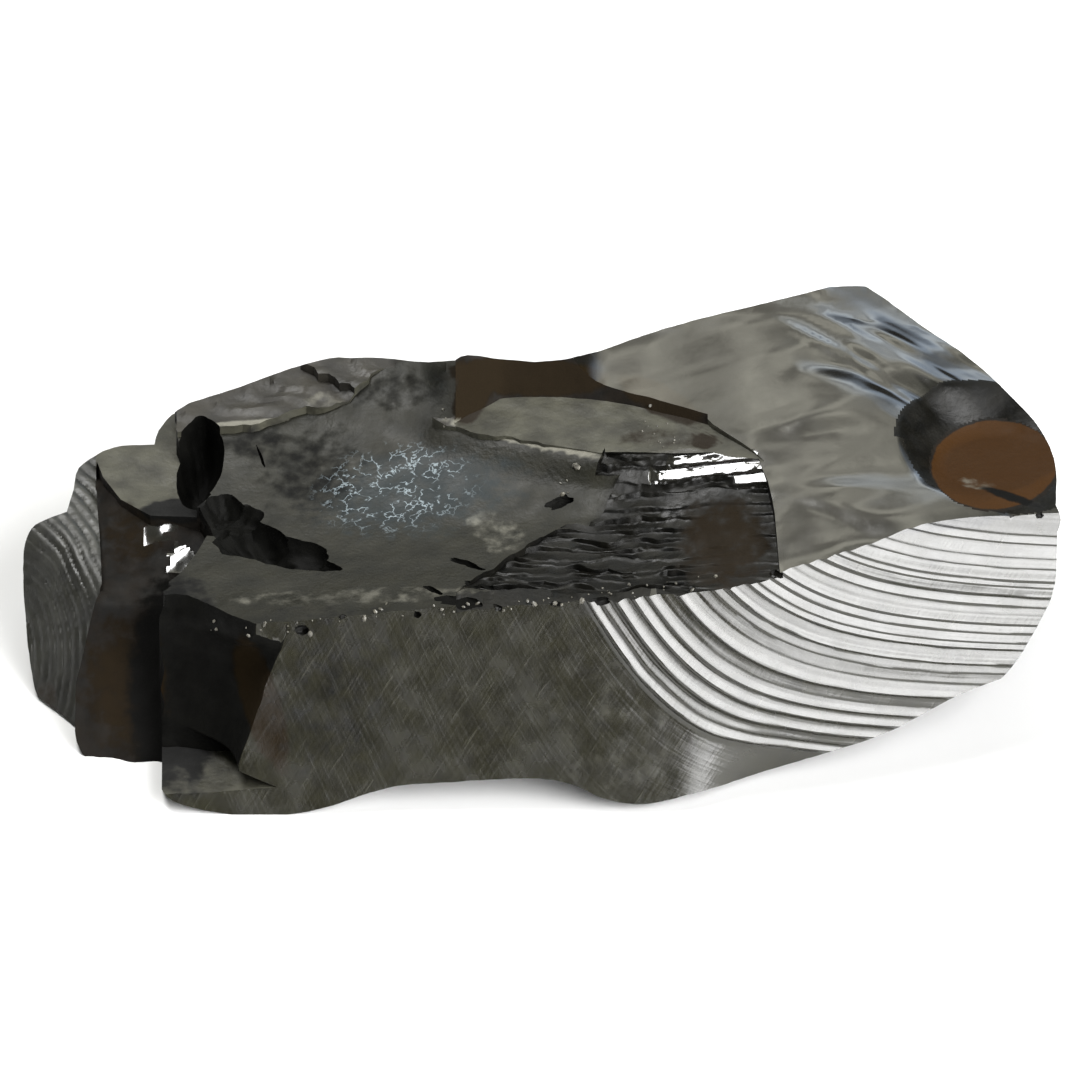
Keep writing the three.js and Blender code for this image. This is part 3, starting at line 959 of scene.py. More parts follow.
# ---- the dull hollow on top, with the ledges behind it and the stepped hackles ----
@dataclass
class DullHollow:
    """The dull hollow on top, its layered back ledge, its pale patch and its black pits."""

    low: tuple[float, float, float] = (-10, -17, 13.6)
    edge: tuple = (
        (-6.8, -7.1), (-8.3, -6.9), (-5.4, -8.8), (-1.5, -10.2), (1.5, -11.4), (4.6, -12.6), (6.5, -13.5),
        (5, -17), (1.8, -20.5), (0, -24), (0, -44),
    )
    shelf: Slope = Slope(14.9, -18, -5, 0.13, 0.14)
    lower: Slope = Slope(15, -18, -5, 0.13, 0.14)
    upper: Slope = Slope(15.7, -18, -5, 0.117, 0.14)
    layer: float = 0.42
    flake_depth: float = 0.45
    # Each flake or crack: its place across and up the outline's plane, half length, half width and turn.
    flakes: tuple = (
        (-6.3, -4.0, 2.1, 0.8, -22), (-4.4, -2.9, 1.6, 0.5, -30), (-8.2, -3.2, 1.1, 0.3, -50),
        (-5.6, -1.2, 1.6, 0.34, -38), (1.5, 3.5, 1.2, 0.6, 20), (-21.5, 7.0, 1.3, 0.12, -74),
    )

    def floor(self, x: Array, y: Array) -> Array:
        """The height of the hollow's floor.

        Args:
            x: Along the stone.
            y: Across it.

        Returns:
            Its z.
        """
        back, across = y - self.low[1], x - self.low[0]
        skew = 0.012 * np.maximum(0, back) * np.maximum(0, x + 18)
        bowl = np.where(back < 0, 0.007, 0.009) * back * back + np.where(across < 0, 0.09, 0.1) * across
        whole = self.low[2] + bowl + skew + 0.12 * rubble(x / 4.5, y / 3.5, 21, 3)
        # It climbs softly to the pale patch.
        away = np.maximum(0, -7.2 - 0.48 * (x + 6.8) - y)
        ramp = np.exp(-((away / 1.7) ** 2)) * ease(x, -9.5, -7) * ease(y, -15, -13)
        whole = whole + (17 + 0.075 * (x + 6.5) - 0.35 - whole) * ramp
        # It climbs to the lower ledge too.
        under = np.maximum(0, -4 + 0.3 * np.maximum(0, x + 20) - y)
        ramp = np.exp(-((under / 2.2) ** 2)) * ease(x, -17, -13) * (1 - ease(x, -9.5, -8))
        return whole + np.maximum(0, self.shelf.at(x, y) - whole) * ramp

    def layers(self, height: Array, x: Array, y: Array, seed: int) -> Array:
        """Breaks a slope into thin plates with ragged edges.

        Args:
            height: The slope's height.
            x: Along the stone.
            y: Across it.
            seed: Which breakage.

        Returns:
            The stepped height.
        """
        along, side = (x + 0.35 * y) / 7, (y - 0.35 * x) / 2.2
        ragged_height = height + 0.3 * lumps(along, side, seed) + 0.04 * rubble(x / 0.9, y / 0.7, seed, 2)
        plates = ragged_height / self.layer
        step = np.floor(plates)
        return height + self.layer * (step + ease(plates - step, 0, 0.22) - plates) * 0.6

    def patch(self) -> bpy.types.Object:
        """The pale flat patch behind the hollow, with its dark little wall up to the back rim.

        Returns:
            The block.
        """
        columns = 50
        rows = [
            {"t": float(t), "left": -6.6, "right": 12.9 + 4.4 * float(ease(np.float64(-t), 0, 2.2))}
            for t in spaced(-12, 8, 0.4)[::-1]
        ]

        def face(x: Array, row: dict[str, float]) -> Array:
            """The points of one row.

            Args:
                x: Along the stone.
                row: What the row holds.

            Returns:
                Its points.
            """
            t = row["t"]
            crease = np.where(x < -3, -4.5 + 0.83 * (x + 3), -4.5 - 0.021 * (x + 3) ** 2)
            y = crease + t
            fine = 0.1 * rubble(x / 3, y / 2, 31, 3) + 0.14 * lumps(x / 1.2, t / 2, 32) * (t > 0)
            z = 17 + 0.075 * (x + 6.5) + np.maximum(1.3 * t, 0.03 * t) + fine
            return np.stack([x, y, z], -1)

        made = row_block("pale_patch", rows, columns, face, Finish.PALE)
        kinds = np.full(len(made.data.polygons), Finish.PALE.value)
        kinds[: columns * sum(row["t"] > 0.2 for row in rows)] = Finish.LOBED.value
        store(made, "finish", kinds, "FACE")
        return made

    def pieces(self) -> list[bpy.types.Object]:
        """The floor, the two ledges and the pits.

        Returns:
            The blocks.
        """
        basin_plan = ragged([
            (-6.5, 20), (-6.5, -7), *self.edge, (-50, -44), (-50, -4.4), (-24.2, -4.4), (-22.3, -4.2),
            (-21, -4), (-18.7, -3.1), (-14.6, -2.8), (-13.1, -0.7), (-9, 0.5), (-7.7, 1.8), (-6.9, 20),
        ], 0.7, 0.45, 11)
        basin = above("dull_floor", basin_plan, self.floor, 0.42, Finish.DULL, Finish.PALE)

        def upper(x: Array, y: Array) -> Array:
            """The upper ledge's height."""
            corner = ease(x, -12, -6.5) * ease(y, -9, -3)
            return self.layers(self.upper.at(x, y) + 2 * corner, x, y, 41)

        def lower(x: Array, y: Array) -> Array:
            """The lower ledge's height."""
            return self.layers(self.lower.at(x, y), x, y, 43)

        ledge_plan = [(-50, 30), (-50, -12), (-6.5, -12), (-6.5, 30)]
        ledge = above("upper_ledge", ledge_plan, upper, 0.34, Finish.LAYERED)
        step_plan = ragged([
            (-50, 30), (-50, -12), (-15, -12), (-13.2, -5), (-14.2, -2.2), (-18.5, 1.4), (-19, 30),
        ], 0.7, 0.5, 12)
        step = above("lower_ledge", step_plan, lower, 0.34, Finish.LAYERED)
        pits = [
            egg("black_pit", (-21.2, -17.6, 13.7), (5.6, 2.4, 3.2), -36, 72, Finish.HOLLOW, 0.22, 61),
            egg("broken_corner", (-24.4, -13.6, 14.6), (3.4, 2.9, 3.4), -20, 72, Finish.HOLLOW, 0.25, 63),
            egg("black_notch", (-26.3, -7.1, 13.4), (2.0, 4.4, 4.5), -3, 72, Finish.HOLLOW, 0.07, 62),
            egg("low_crack", (-17.6, -20.6, 13.6), (2.6, 0.9, 1.6), -30, 40, Finish.HOLLOW, 0.25, 64),
        ]
        for k, (u, v, long, wide, turn) in enumerate(self.flakes):
            at, size = self.place(u, v), (long, wide, self.flake_depth)
            pits.append(egg(f"dark_flake_{k}", at, size, turn, 36, Finish.HOLLOW, 0.35, 65 + k))
        return [basin, ledge, step, *pits]

    def place(self, u: float, v: float) -> tuple[float, float, float]:
        """The point of the floor that shows at a place of the outline's plane.

        Args:
            u: Across the outline's plane.
            v: Up it.

        Returns:
            The point.
        """
        z = self.low[2]
        for _ in range(12):
            y = (v - z * math.sin(TIP)) / math.cos(TIP)
            z = 0.5 * z + 0.5 * float(self.floor(np.float64(u), np.float64(y)))
        return u, y, z

    def tools(self, relief: bpy.types.NodeTree) -> list[bpy.types.Object]:
        """Makes what the breaks of the hollow took away.

        Args:
            relief: The relief tree.

        Returns:
            The blocks, the pale patch first.
        """
        patch = Relief(0.05, 1.5, 0.1, 20, 0.8, 4, 2).work(self.patch(), relief)
        basin, ledge, step, *pits = self.pieces()
        Relief(0.05, 1.1, 0.06, -35, 0.9, 6, 4).work(basin, relief)
        Relief(0.06, 0.9, 0.1, 15, 0.7, 5, 5).work(ledge, relief)
        Relief(0.06, 0.9, 0.1, 15, 0.7, 5, 6).work(step, relief)
        return [patch, basin, ledge, step, *pits]


@dataclass
class Hackles:
    """The shingled glassy steps that go down to the viewer from the hollow's right-hand edge."""

    steps: int = 14
    riser: float = 0.42
    sag: float = 1.75
    across: float = 15.75
    bars: tuple = (9.6, 8.4, 14.2, 99)  # where the bright bar of each of the first steps starts
    left: tuple = (5, 4.2, 4.6, 3, 1.1, -0.8, -2.2, -3.4, -5.2, -6.5)
    right: tuple = (16.6, 17, 17.5, 17.8, 18, 18.1, 18.2, 18.3, 18.4, 18.4)

    def tools(self, relief: bpy.types.NodeTree) -> list[bpy.types.Object]:
        """Makes what the steps took away.

        Args:
            relief: The relief tree.

        Returns:
            The block.
        """
        # Across a step: the share of it passed, its lift, and the lift of a bright bar.
        profile = (
            (0.0, 0.5, 0.0), (0.05, 0.42, 0.0), (0.11, 0.0, 0.0), (0.16, -0.42, 0.0), (0.24, -0.5, 0.0),
            (0.38, -0.42, 0.0), (0.52, -0.25, 0.0), (0.66, -0.05, 0.0), (0.74, 0.08, -0.1),
            (0.82, 0.22, -0.6), (0.92, 0.42, -0.5),
        )
        places = np.linspace(0, self.across, len(self.left))
        rows = []
        for i in range(self.steps):
            for share, lift, bar in profile:
                t = (i + share) * self.across / self.steps
                rows.append({
                    "left": float(np.interp(t, places, self.left)),
                    "right": float(np.interp(t, places, self.right)),
                    "t": t,
                    "step": i,
                    "share": share,
                    "lift": lift if i or share > 0.3 else 0.0,
                    "bar": bar,
                })
        rows.append({**rows[-1], "t": 22.0, "lift": 0.0, "bar": 0.0})

        def jag(x: Array, step: float) -> Array:
            """How far a step's edge strays."""
            return 0.85 * rubble(x / 2.6, np.full_like(x, step * 1.3), 51, 4)

        def face(x: Array, row: dict[str, float]) -> Array:
            """The points of one row.

            Args:
                x: Along the stone.
                row: What the row holds.

            Returns:
                Its points.
            """
            t, along = row["t"], min(max(row["t"] / self.across, 0), 1)
            upper, lower = 17.05 + 0.09 * x, 15.1 + 0.085 * (x - 1.5)
            smooth = 0.7 * ease(x, 9.5, 12.5) * float(ease(np.float64(t), 2.6, 4.5))
            bars = ease(x, self.bars[min(row["step"], 3)], self.bars[min(row["step"], 3)] + 0.8)
            stray = jag(x, row["step"]) * (1 - row["share"]) + jag(x, row["step"] + 1) * row["share"]
            stray = stray * (1 - smooth) * (1 - 0.8 * bars) * (0 < t < self.across)
            y = -12.2 - 0.13 * (x - 4) - t + stray
            sag = self.sag * (1 - 0.45 * ease(x, 8, 16)) * math.sin(math.pi * along)
            strength = np.maximum(0.12, 0.5 + 1.1 * lumps(x / 1.7, np.full_like(x, row["step"] * 1.7), 52))
            fleck = row["bar"] - 0.4 * np.maximum(0, rubble(x / 1.5, x * 0 + t * 2.6, 53, 3) - 0.2)
            lift = self.riser * (row["lift"] * strength * (1 - bars) + fleck * bars) * (1 - smooth)
            z = upper + (lower - upper) * along - sag + lift + 0.1 * (x - 12.5) * bars
            return np.stack([x, y, z], -1)

        columns = 100
        block = row_block("hackled_steps", rows, columns, face, Finish.HACKLED)
        kinds = np.full(len(block.data.polygons), Finish.HACKLED.value)
        bright = kinds[: (len(rows) - 1) * columns].reshape(-1, columns)
        for i, start in enumerate(self.bars[:3]):
            left = max(0, round((start + 0.3 - self.left[0]) / (self.right[0] - self.left[0]) * columns))
            bright[i * len(profile) : (i + 1) * len(profile), left:] = Finish.GLASSY.value
        store(block, "finish", kinds, "FACE")
        return [Relief(0.035, 0.8, 0.06, -80, 0.7, 3, 7).work(block, relief)]


# ---- the left end: overlapping scales that step down to the table ----
@dataclass
class LeftEnd:
    """The plate, the lobed skirt, the finely ribbed scale and the dark corner at the left."""

    plate_z: float = 11.5
    face: Slope = Slope(8.3, -30, -19, 0.1, 0.86)
    scale_top: Slope = Slope(9.8, 0, -9, 0, 0.1)
    scale_rib: float = 0.32
    scale_pitch: float = 0.62
    side: tuple = (
        (-34.6, 30), (-34.3, -6), (-33.9, -12), (-33.7, -17), (-34.8, -20.5), (-35.7, -23.5), (-36.3, -50),
    )
    skirt_edge: tuple = (
        (-34.2, -4.5), (-33.7, -6.5), (-32.3, -9.4), (-30, -11.6), (-26.2, -12.2), (-25.0, -14.2),
        (-26.4, -18), (-27.6, -20.6), (-28.5, -21.9), (-28.3, -22.5), (-28.9, -23.2), (-28.7, -24.1),
        (-29.2, -24.7), (-28.8, -25.5), (-29.1, -26.2), (-28.8, -26.9), (-29.0, -27.6), (-28.9, -50),
    )
    corner_left: float = -45.0
    corner_edge: float = -24.6
    corner_lean: float = 0.4
    corner_depth: float = 8.5
    corner_foot: float = 1.7
    corner_top: float = 13.0

    def plate(self) -> bpy.types.Object:
        """The small smooth step.

        Returns:
            The block.
        """
        plan = ragged([
            (-50, 30), (-50, -11.8), (-29.4, -12.6), (-26.4, -12.2), (-25.4, -10.8), (-26.6, -9), (-27.6, -7),
            (-28, -4), (-28.2, 1.5), (-28.6, 30),
        ], 0.6, 0.25, 71)

        def floor(x: Array, y: Array) -> Array:
            """The plate's height, a shallow saucer."""
            sink = 0.3 * np.exp(-(((x + 29) / 3.2) ** 2) - ((y + 8) / 3) ** 2)
            return self.plate_z + 0.05 * (x + 30) + 0.04 * (y + 6) - sink + 0.05 * rubble(x / 3, y / 3, 72)

        return above("left_plate", plan, floor, 0.34, Finish.PALE, Finish.HOLLOW)

    def skirt(self) -> bpy.types.Object:
        """The dark skirt round the plate's edge, and the brown lobed face below it.

        Returns:
            The block.
        """
        plan = [*self.side[1:][::-1], *self.skirt_edge]

        def floor(x: Array, y: Array) -> Array:
            """The skirt's height.

            Args:
                x: Along the stone.
                y: Across it.

            Returns:
                Its z.
            """
            reach = np.hypot(x + 27, y + 5)
            bowl = 8.3 + 0.17 * np.maximum(0, 12.5 - reach) ** 1.5
            lobes = 0.35 * np.abs(lumps(x / 2.6, y / 1.8, 75)) + 0.12 * rubble(x / 1.3, y / 1.3, 76, 3)
            return soft_min(bowl, self.face.at(x, y), 0.5) + lobes - 0.2

        return above("lobed_skirt", plan, floor, 0.3, Finish.LOBED)

    def scale(self) -> bpy.types.Object:
        """The finely ribbed scale, its ribs running down to the table.

        Returns:
            The block.
        """
        plan = [(-50, -50), (-50, 30), *[(x + 0.05, y) for x, y in self.side]]

        def floor(x: Array, y: Array) -> Array:
            """The scale's height.

            Args:
                x: Along the stone.
                y: Across it.

            Returns:
                Its z.
            """
            flank = 9.2 + 1.15 * (x + 36.2) + 0.95 * (y + 14)
            top = soft_min(self.scale_top.at(x, y), flank, 2)
            v = y * math.cos(TIP) + top * math.sin(TIP)
            reach = np.hypot(x + 41.5, (v + 8.5) * 0.62) + 0.25 * lumps(x / 3, y / 3, 81)
            ribs = np.abs(np.sin(math.pi * reach / self.scale_pitch)) ** 0.6
            strength = 0.6 + 0.4 * lumps(reach / self.scale_pitch / 1.7, y / 9, 83)
            return top + self.scale_rib * strength * (ribs - 0.7) + 0.05 * rubble(x, y, 82)

        return above("ribbed_scale", plan, floor, 0.15, Finish.SCALE)

    def corner(self, front: FrontFace) -> bpy.types.Object:
        """The dark curved break at the front left corner, over a low lip.

        Args:
            front: The front face that it breaks into.

        Returns:
            The block.
        """
        shares = np.concatenate([np.linspace(0, 0.8, 26)[:-1], np.linspace(0.8, 1, 26)[:-1], [1, 1.15]])
        wall = spaced(self.corner_foot + 0.25, self.corner_top, 0.4)
        heights = np.concatenate([[self.corner_foot], wall, [30]])
        share, z = np.meshgrid(shares, heights)
        edge = self.corner_edge + self.corner_lean * np.minimum(z, self.corner_top)
        edge = edge + 0.22 * rubble(z / 2, z * 0 + 3.3, 91) * (z < self.corner_top)
        edge = edge + 3.0 * np.maximum(0, 3.2 - z)
        x = self.corner_left + (edge - self.corner_left) * share
        hollow = self.corner_depth * np.sqrt(np.maximum(0, 1 - share**4)) * (1 - 0.01 * (z - 6) ** 2)
        rim = soft_min(np.maximum(0, 1.25 * (edge - x - 2.4)), 7.0 + 0 * x, 1.5)
        hollow = hollow + (rim - hollow) * ease(z, 9.5, 13) * (share < 1)
        lip = (z == self.corner_foot) * (0.05 * (x + 24) + 0.12 * rubble(x / 2, z * 0, 92))
        out = np.where(share > 1, -8 * (share - 1), 0)
        folds = 0.22 * lumps(x / 1.7, z / 6, 93) + 0.1 * rubble(x / 1.2, z / 1.5, 94, 3)
        y = front.depth(x) - front.lean * (front.z - z) + hollow + out
        near = np.stack([x, y + folds * (share < 1), z + lip], -1)
        block = bent_block("dark_corner", near, (0, -FAR, 0), Finish.HOLLOW)
        kinds = np.full(len(block.data.polygons), Finish.HOLLOW.value)
        lip_side = (len(shares) - 1) * (len(heights) - 1)
        kinds[lip_side : lip_side + len(shares) - 1] = Finish.PALE.value
        store(block, "finish", kinds, "FACE")
        return block

    def tools(self, relief: bpy.types.NodeTree, front: FrontFace) -> list[bpy.types.Object]:
        """Makes what the breaks of the left end took away.

        Args:
            relief: The relief tree.
            front: The front face.

        Returns:
            The blocks.
        """
        plate, skirt, scale = self.plate(), self.skirt(), self.scale()
        Relief(0.03, 1.5, 0.04, 10, 1, 5, 8).work(plate, relief)
        Relief(0.06, 0.9, 0.08, 60, 0.8, 4, 9).work(skirt, relief)
        Relief(0.05, 0.8).work(scale, relief)
        return [plate, skirt, scale, self.corner(front)]


@dataclass
class HiddenSides:
    """The broad shallow breaks behind, under the ends and under the back."""

    back: float = 5.6
    cell: float = 1.1

    def tools(self) -> list[bpy.types.Object]:
        """Makes what those breaks took away.

        Returns:
            The blocks.
        """
        # Each break: a point of it, the way it looks, its width, bow, seed and roughness.
        rows = (
            ((4, self.back, 9), (-0.09, 1, 0.25), 70, 2.4, 1, 0.35),
            ((-24, self.back - 1.2, 8), (-0.52, 0.86, 0.28), 50, 1.8, 2, 0.35),
            ((32.6, self.back - 2.6, 10), (0.72, 0.68, 0.3), 50, 2, 3, 0.35),
            ((36.5, -8, 3), (0.62, 0.3, -0.72), 40, 1.5, 4, 0.3),
            ((28.5, -21.5, 2), (0.31, -0.23, -0.92), 40, 1.6, 7, 0.3),
            ((6, self.back + 1.4, 1.6), (0.05, 0.55, -0.83), 60, 1.2, 5, 0.3),
            ((-33.5, -8, 1.2), (-0.5, 0.25, -0.83), 40, 1, 6, 0.3),
        )
        return [break_away(f"hidden_break_{k}", self.cell, *row) for k, row in enumerate(rows)]


# ---- crumbs that cling to the stone ----
def crumbs_tree() -> bpy.types.NodeTree:
    """Small angular crumbs, one at each point of a mesh, turned and sized by a fixed seed.

    Returns:
        The tree.
    """
    tree, start = new_tree("clinging_crumbs", {
        "Size": ("NodeSocketFloat", 0.5),
        "Seed": ("NodeSocketInt", 1),
        "Material": ("NodeSocketMaterial", None),
    })
    given, three, whole_turn = start.outputs, {"data_type": "FLOAT_VECTOR"}, (6.28, 6.28, 6.28)
    small, large = (0.6, 0.5, 0.4), (1.3, 1.0, 0.8)
    chip = add_node(tree, "GeometryNodeMeshIcoSphere", Radius=1.0, Subdivisions=1)
    own = add_node(tree, NAMED, NUMBER, Name="size")
    turn = add_node(tree, "FunctionNodeRandomValue", three, Max=whole_turn, Seed=given["Seed"])
    long = add_node(tree, "FunctionNodeRandomValue", three, Min=small, Max=large, Seed=given["Seed"])
    size = add_node(tree, MATH, "MULTIPLY", own, given["Size"])
    scale = add_node(tree, VECTOR, "SCALE", long, Scale=size)
    crumb = {"Instance": chip, "Rotation": turn, "Scale": scale}
    placed = add_node(tree, "GeometryNodeInstanceOnPoints", Points=given["Geometry"], **crumb)
    end_tree(tree, start, placed)
    return tree


@dataclass
class Crumbs:
    """Crumbs and small flakes along the broken edges, joined into the stone's mesh."""

    # Each run: its ends across and up the outline's plane, how many, how far they stray, and their size.
    runs: tuple = (
        ((-22.4, -5.8), (-17.5, -5.9), 12, 0.35, 0.3),
        ((-17.5, -5.7), (-6.0, -4.5), 16, 0.4, 0.26),
        ((-6.0, -4.3), (3.4, -3.9), 18, 0.4, 0.3),
        ((3.4, -3.6), (14.0, -2.4), 18, 0.3, 0.3),
        ((34.3, 2.4), (39.2, 2.4), 40, 0.35, 0.3),
        ((26.0, 2.0), (34.3, 2.4), 8, 0.25, 0.18),
        ((-7.8, 11.2), (-7.0, 10.0), 8, 0.5, 0.3),
        ((8.0, 10.0), (9.9, 8.6), 9, 0.7, 0.3),
        ((8.0, 8.3), (11.6, 8.2), 9, 0.15, 0.17),
        ((-24.4, 6.8), (-19.3, 4.4), 18, 0.5, 0.3),
        ((-25.8, -4.9), (-24.6, -6.3), 6, 0.4, 0.3),
        ((2.6, 5.0), (1.2, 3.6), 7, 0.6, 0.4),
        ((-25.8, 2.4), (-24.9, 0.8), 6, 0.4, 0.35),
        ((-29.8, -0.9), (-27.0, -2.2), 7, 0.5, 0.35),
    )

    def build(self, stone: bpy.types.Object) -> bpy.types.Object:
        """Makes the crumbs where they lie on the stone.

        Args:
            stone: The stone, with its breaks made.

        Returns:
            All the crumbs, as one mesh.
        """
        draw = np.random.default_rng(7)
        line = Vector((0, -math.sin(TIP), math.cos(TIP)))
        spots, sizes = [], []
        for (u0, v0), (u1, v1), count, stray, size in self.runs:
            for _ in range(count):
                share = draw.random()
                u = u0 + (u1 - u0) * share + draw.normal() * stray * 0.4
                v = v0 + (v1 - v0) * share + draw.normal() * stray
                own = size * (0.3 + 0.8 * draw.random() ** 2)
                start = Vector((u, v * math.cos(TIP), v * math.sin(TIP))) + line * FAR
                hit, spot, normal, _ = stone.ray_cast(start, -line)
                clear = all((spot - other).length > own + near for other, near in zip(spots, sizes))
                if hit and clear:  # its middle lies just above the face that it clings to
                    spots.append(spot + normal * own * 0.15)
                    sizes.append(own)
        made = new_object("crumbs", [tuple(spot) for spot in spots], [])
        store(made, "size", np.array(sizes))
        grow(made, crumbs_tree(), {"Size": 1.0, "Seed": 5})
        store(made, "finish", np.full(len(made.data.polygons), Finish.CRUMB.value), "FACE")
        return made


# ---- the finishes ----
@dataclass(frozen=True)
class Surface:
    """One finish of the stone, its colours in sRGB hex and its patterns in millimetres."""

    name: str
    dark: str
    light: str
    tone: float
    rough: tuple[float, float]
    ior: float
    grain: float
    bump: float
    paints: tuple[Paint, ...] = ()
    strokes: float = 0.0
    crackled: bool = False
    patches: float = 1.1
    wear: float = 2.2

    def material(self) -> bpy.types.Material:
        """Builds the finish.

        Returns:
            The material.
        """
        made = bpy.data.materials.new(self.name)
        made.use_nodes = True
        tree = made.node_tree
        tree.nodes.clear()
        place = add_node(tree, "ShaderNodeTexCoord", out="Object")
        place = add_node(tree, MAPPING, Vector=place, Scale=(1 / MM, 1 / MM, 1 / MM))
        # A noise lies mostly between 0.33 and 0.67, which is spread over the whole range.
        tone = add_node(tree, NOISE, Vector=place, Scale=1 / self.tone, Detail=5.0)
        tone = add_node(tree, RANGE, None, tone, 0.33, 0.67)
        colour = add_node(tree, MIX, COLOURS, i0=tone, i6=linear(self.dark), i7=linear(self.light), out=2)
        break_up = add_node(tree, NOISE, Vector=place, Scale=1 / self.patches, Detail=4.0)
        break_up = add_node(tree, MATH, "SUBTRACT", break_up, 0.5)
        matt: Any = 0.0
        # Each paint is mixed into the colour where its attribute says, the painted shade, painted light and
        # painted reflection as well as the stains and dust.
        for paint in self.paints:
            mark = add_node(tree, ATTRIBUTE, {"attribute_name": paint.held}, out="Fac")
            mark = add_node(tree, MATH, "MULTIPLY_ADD", break_up, 0.9, mark)
            mark = add_node(tree, RANGE, SMOOTH, mark, 0.3, 0.8)
            colour = add_node(tree, MIX, COLOURS, i0=mark, i6=colour, i7=linear(paint.value), out=2)
            if paint in (Paint.PAINTED_SHADE, Paint.STAIN):
                matt = add_node(tree, MATH, "MAXIMUM", matt, mark)
        height = add_node(tree, NOISE, Vector=place, Scale=1 / self.grain, Detail=4.0)
        if self.strokes:
            colour, height = self.add_strokes(tree, colour, height)
        if self.crackled:
            colour = self.add_crackle(tree, place, colour)
        bump = add_node(tree, "ShaderNodeBump", Strength=1.0, Distance=self.bump * MM, Height=height)
        wear = add_node(tree, NOISE, Vector=place, Scale=1 / self.wear, Detail=4.0)
        rough = add_node(tree, RANGE, None, wear, 0.35, 0.65, *self.rough)
        if self.paints and self.ior < 1.7:  # on the brighter finishes paint is no rougher than the stone
            rough = add_node(tree, MATH, "MULTIPLY_ADD", matt, 0.45, rough)
        look = {"Base_Color": colour, "Roughness": rough, "IOR": self.ior, "Normal": bump}
        shader = add_node(tree, "ShaderNodeBsdfPrincipled", **look)
        add_node(tree, "ShaderNodeOutputMaterial", Surface=shader)
        return made

    def add_strokes(self, tree: bpy.types.NodeTree, colour: Any, height: Any) -> tuple[Any, Any]:
        """Adds fine lines that cross the ribs, drawn along the way the crack ran.

        Args:
            tree: The material's tree.
            colour: The colour so far.
            height: The bump's height so far.

        Returns:
            The new colour and height.
        """
        front = add_node(tree, ATTRIBUTE, {"attribute_name": "front"}, out="Vector")
        run = add_node(tree, MAPPING, Vector=front, Scale=(0.28, 4.2, 1))
        lines = add_node(tree, NOISE, Vector=run, Scale=1.0, Detail=3.0)
        height = add_node(tree, MATH, "MULTIPLY_ADD", lines, self.strokes, height)
        ranks = add_node(tree, MAPPING, Vector=front, Scale=(3.1, 0.09, 1))
        threads = add_node(tree, NOISE, Vector=ranks, Scale=1.0, Detail=2.0)
        height = add_node(tree, MATH, "MULTIPLY_ADD", threads, self.strokes, height)
        scratch = add_node(tree, RANGE, None, lines, 0.62, 0.72)
        scratch = add_node(tree, MATH, "MULTIPLY", scratch, 0.13)
        dust = linear(Paint.DUST.value)
        return add_node(tree, MIX, COLOURS, i0=scratch, i6=colour, i7=dust, out=2), height

    def add_crackle(self, tree: bpy.types.NodeTree, place: Any, colour: Any) -> Any:
        """Adds branching hairline cracks, in the patch that their attribute marks.

        Args:
            tree: The material's tree.
            place: Millimetre coordinates.
            colour: The colour so far.

        Returns:
            The new colour.
        """
        warp = add_node(tree, NOISE, Vector=place, Scale=1.3, Detail=3.0, out="Color")
        warp = add_node(tree, VECTOR, "SUBTRACT", warp, (0.5, 0.5, 0.5))
        warp = add_node(tree, VECTOR, "SCALE", warp, Scale=2.0)
        bent = add_node(tree, VECTOR, "ADD", place, warp)
        edges = {"feature": "DISTANCE_TO_EDGE"}
        cells = add_node(tree, "ShaderNodeTexVoronoi", edges, Vector=bent, Scale=0.8, out="Distance")
        line = add_node(tree, RANGE, None, cells, 0.055, 0.015)
        patch = add_node(tree, ATTRIBUTE, {"attribute_name": Paint.CRACKLE.held}, out="Fac")
        patch = add_node(tree, RANGE, None, patch, 0.1, 0.6)
        broken = add_node(tree, NOISE, Vector=place, Scale=0.9, Detail=3.0)
        broken = add_node(tree, RANGE, None, broken, 0.47, 0.55)
        line = add_node(tree, MATH, "MULTIPLY", line, broken)
        line = add_node(tree, MATH, "MULTIPLY", line, patch)
        return add_node(tree, MIX, COLOURS, i0=line, i6=colour, i7=linear(Paint.CRACKLE.value), out=2)


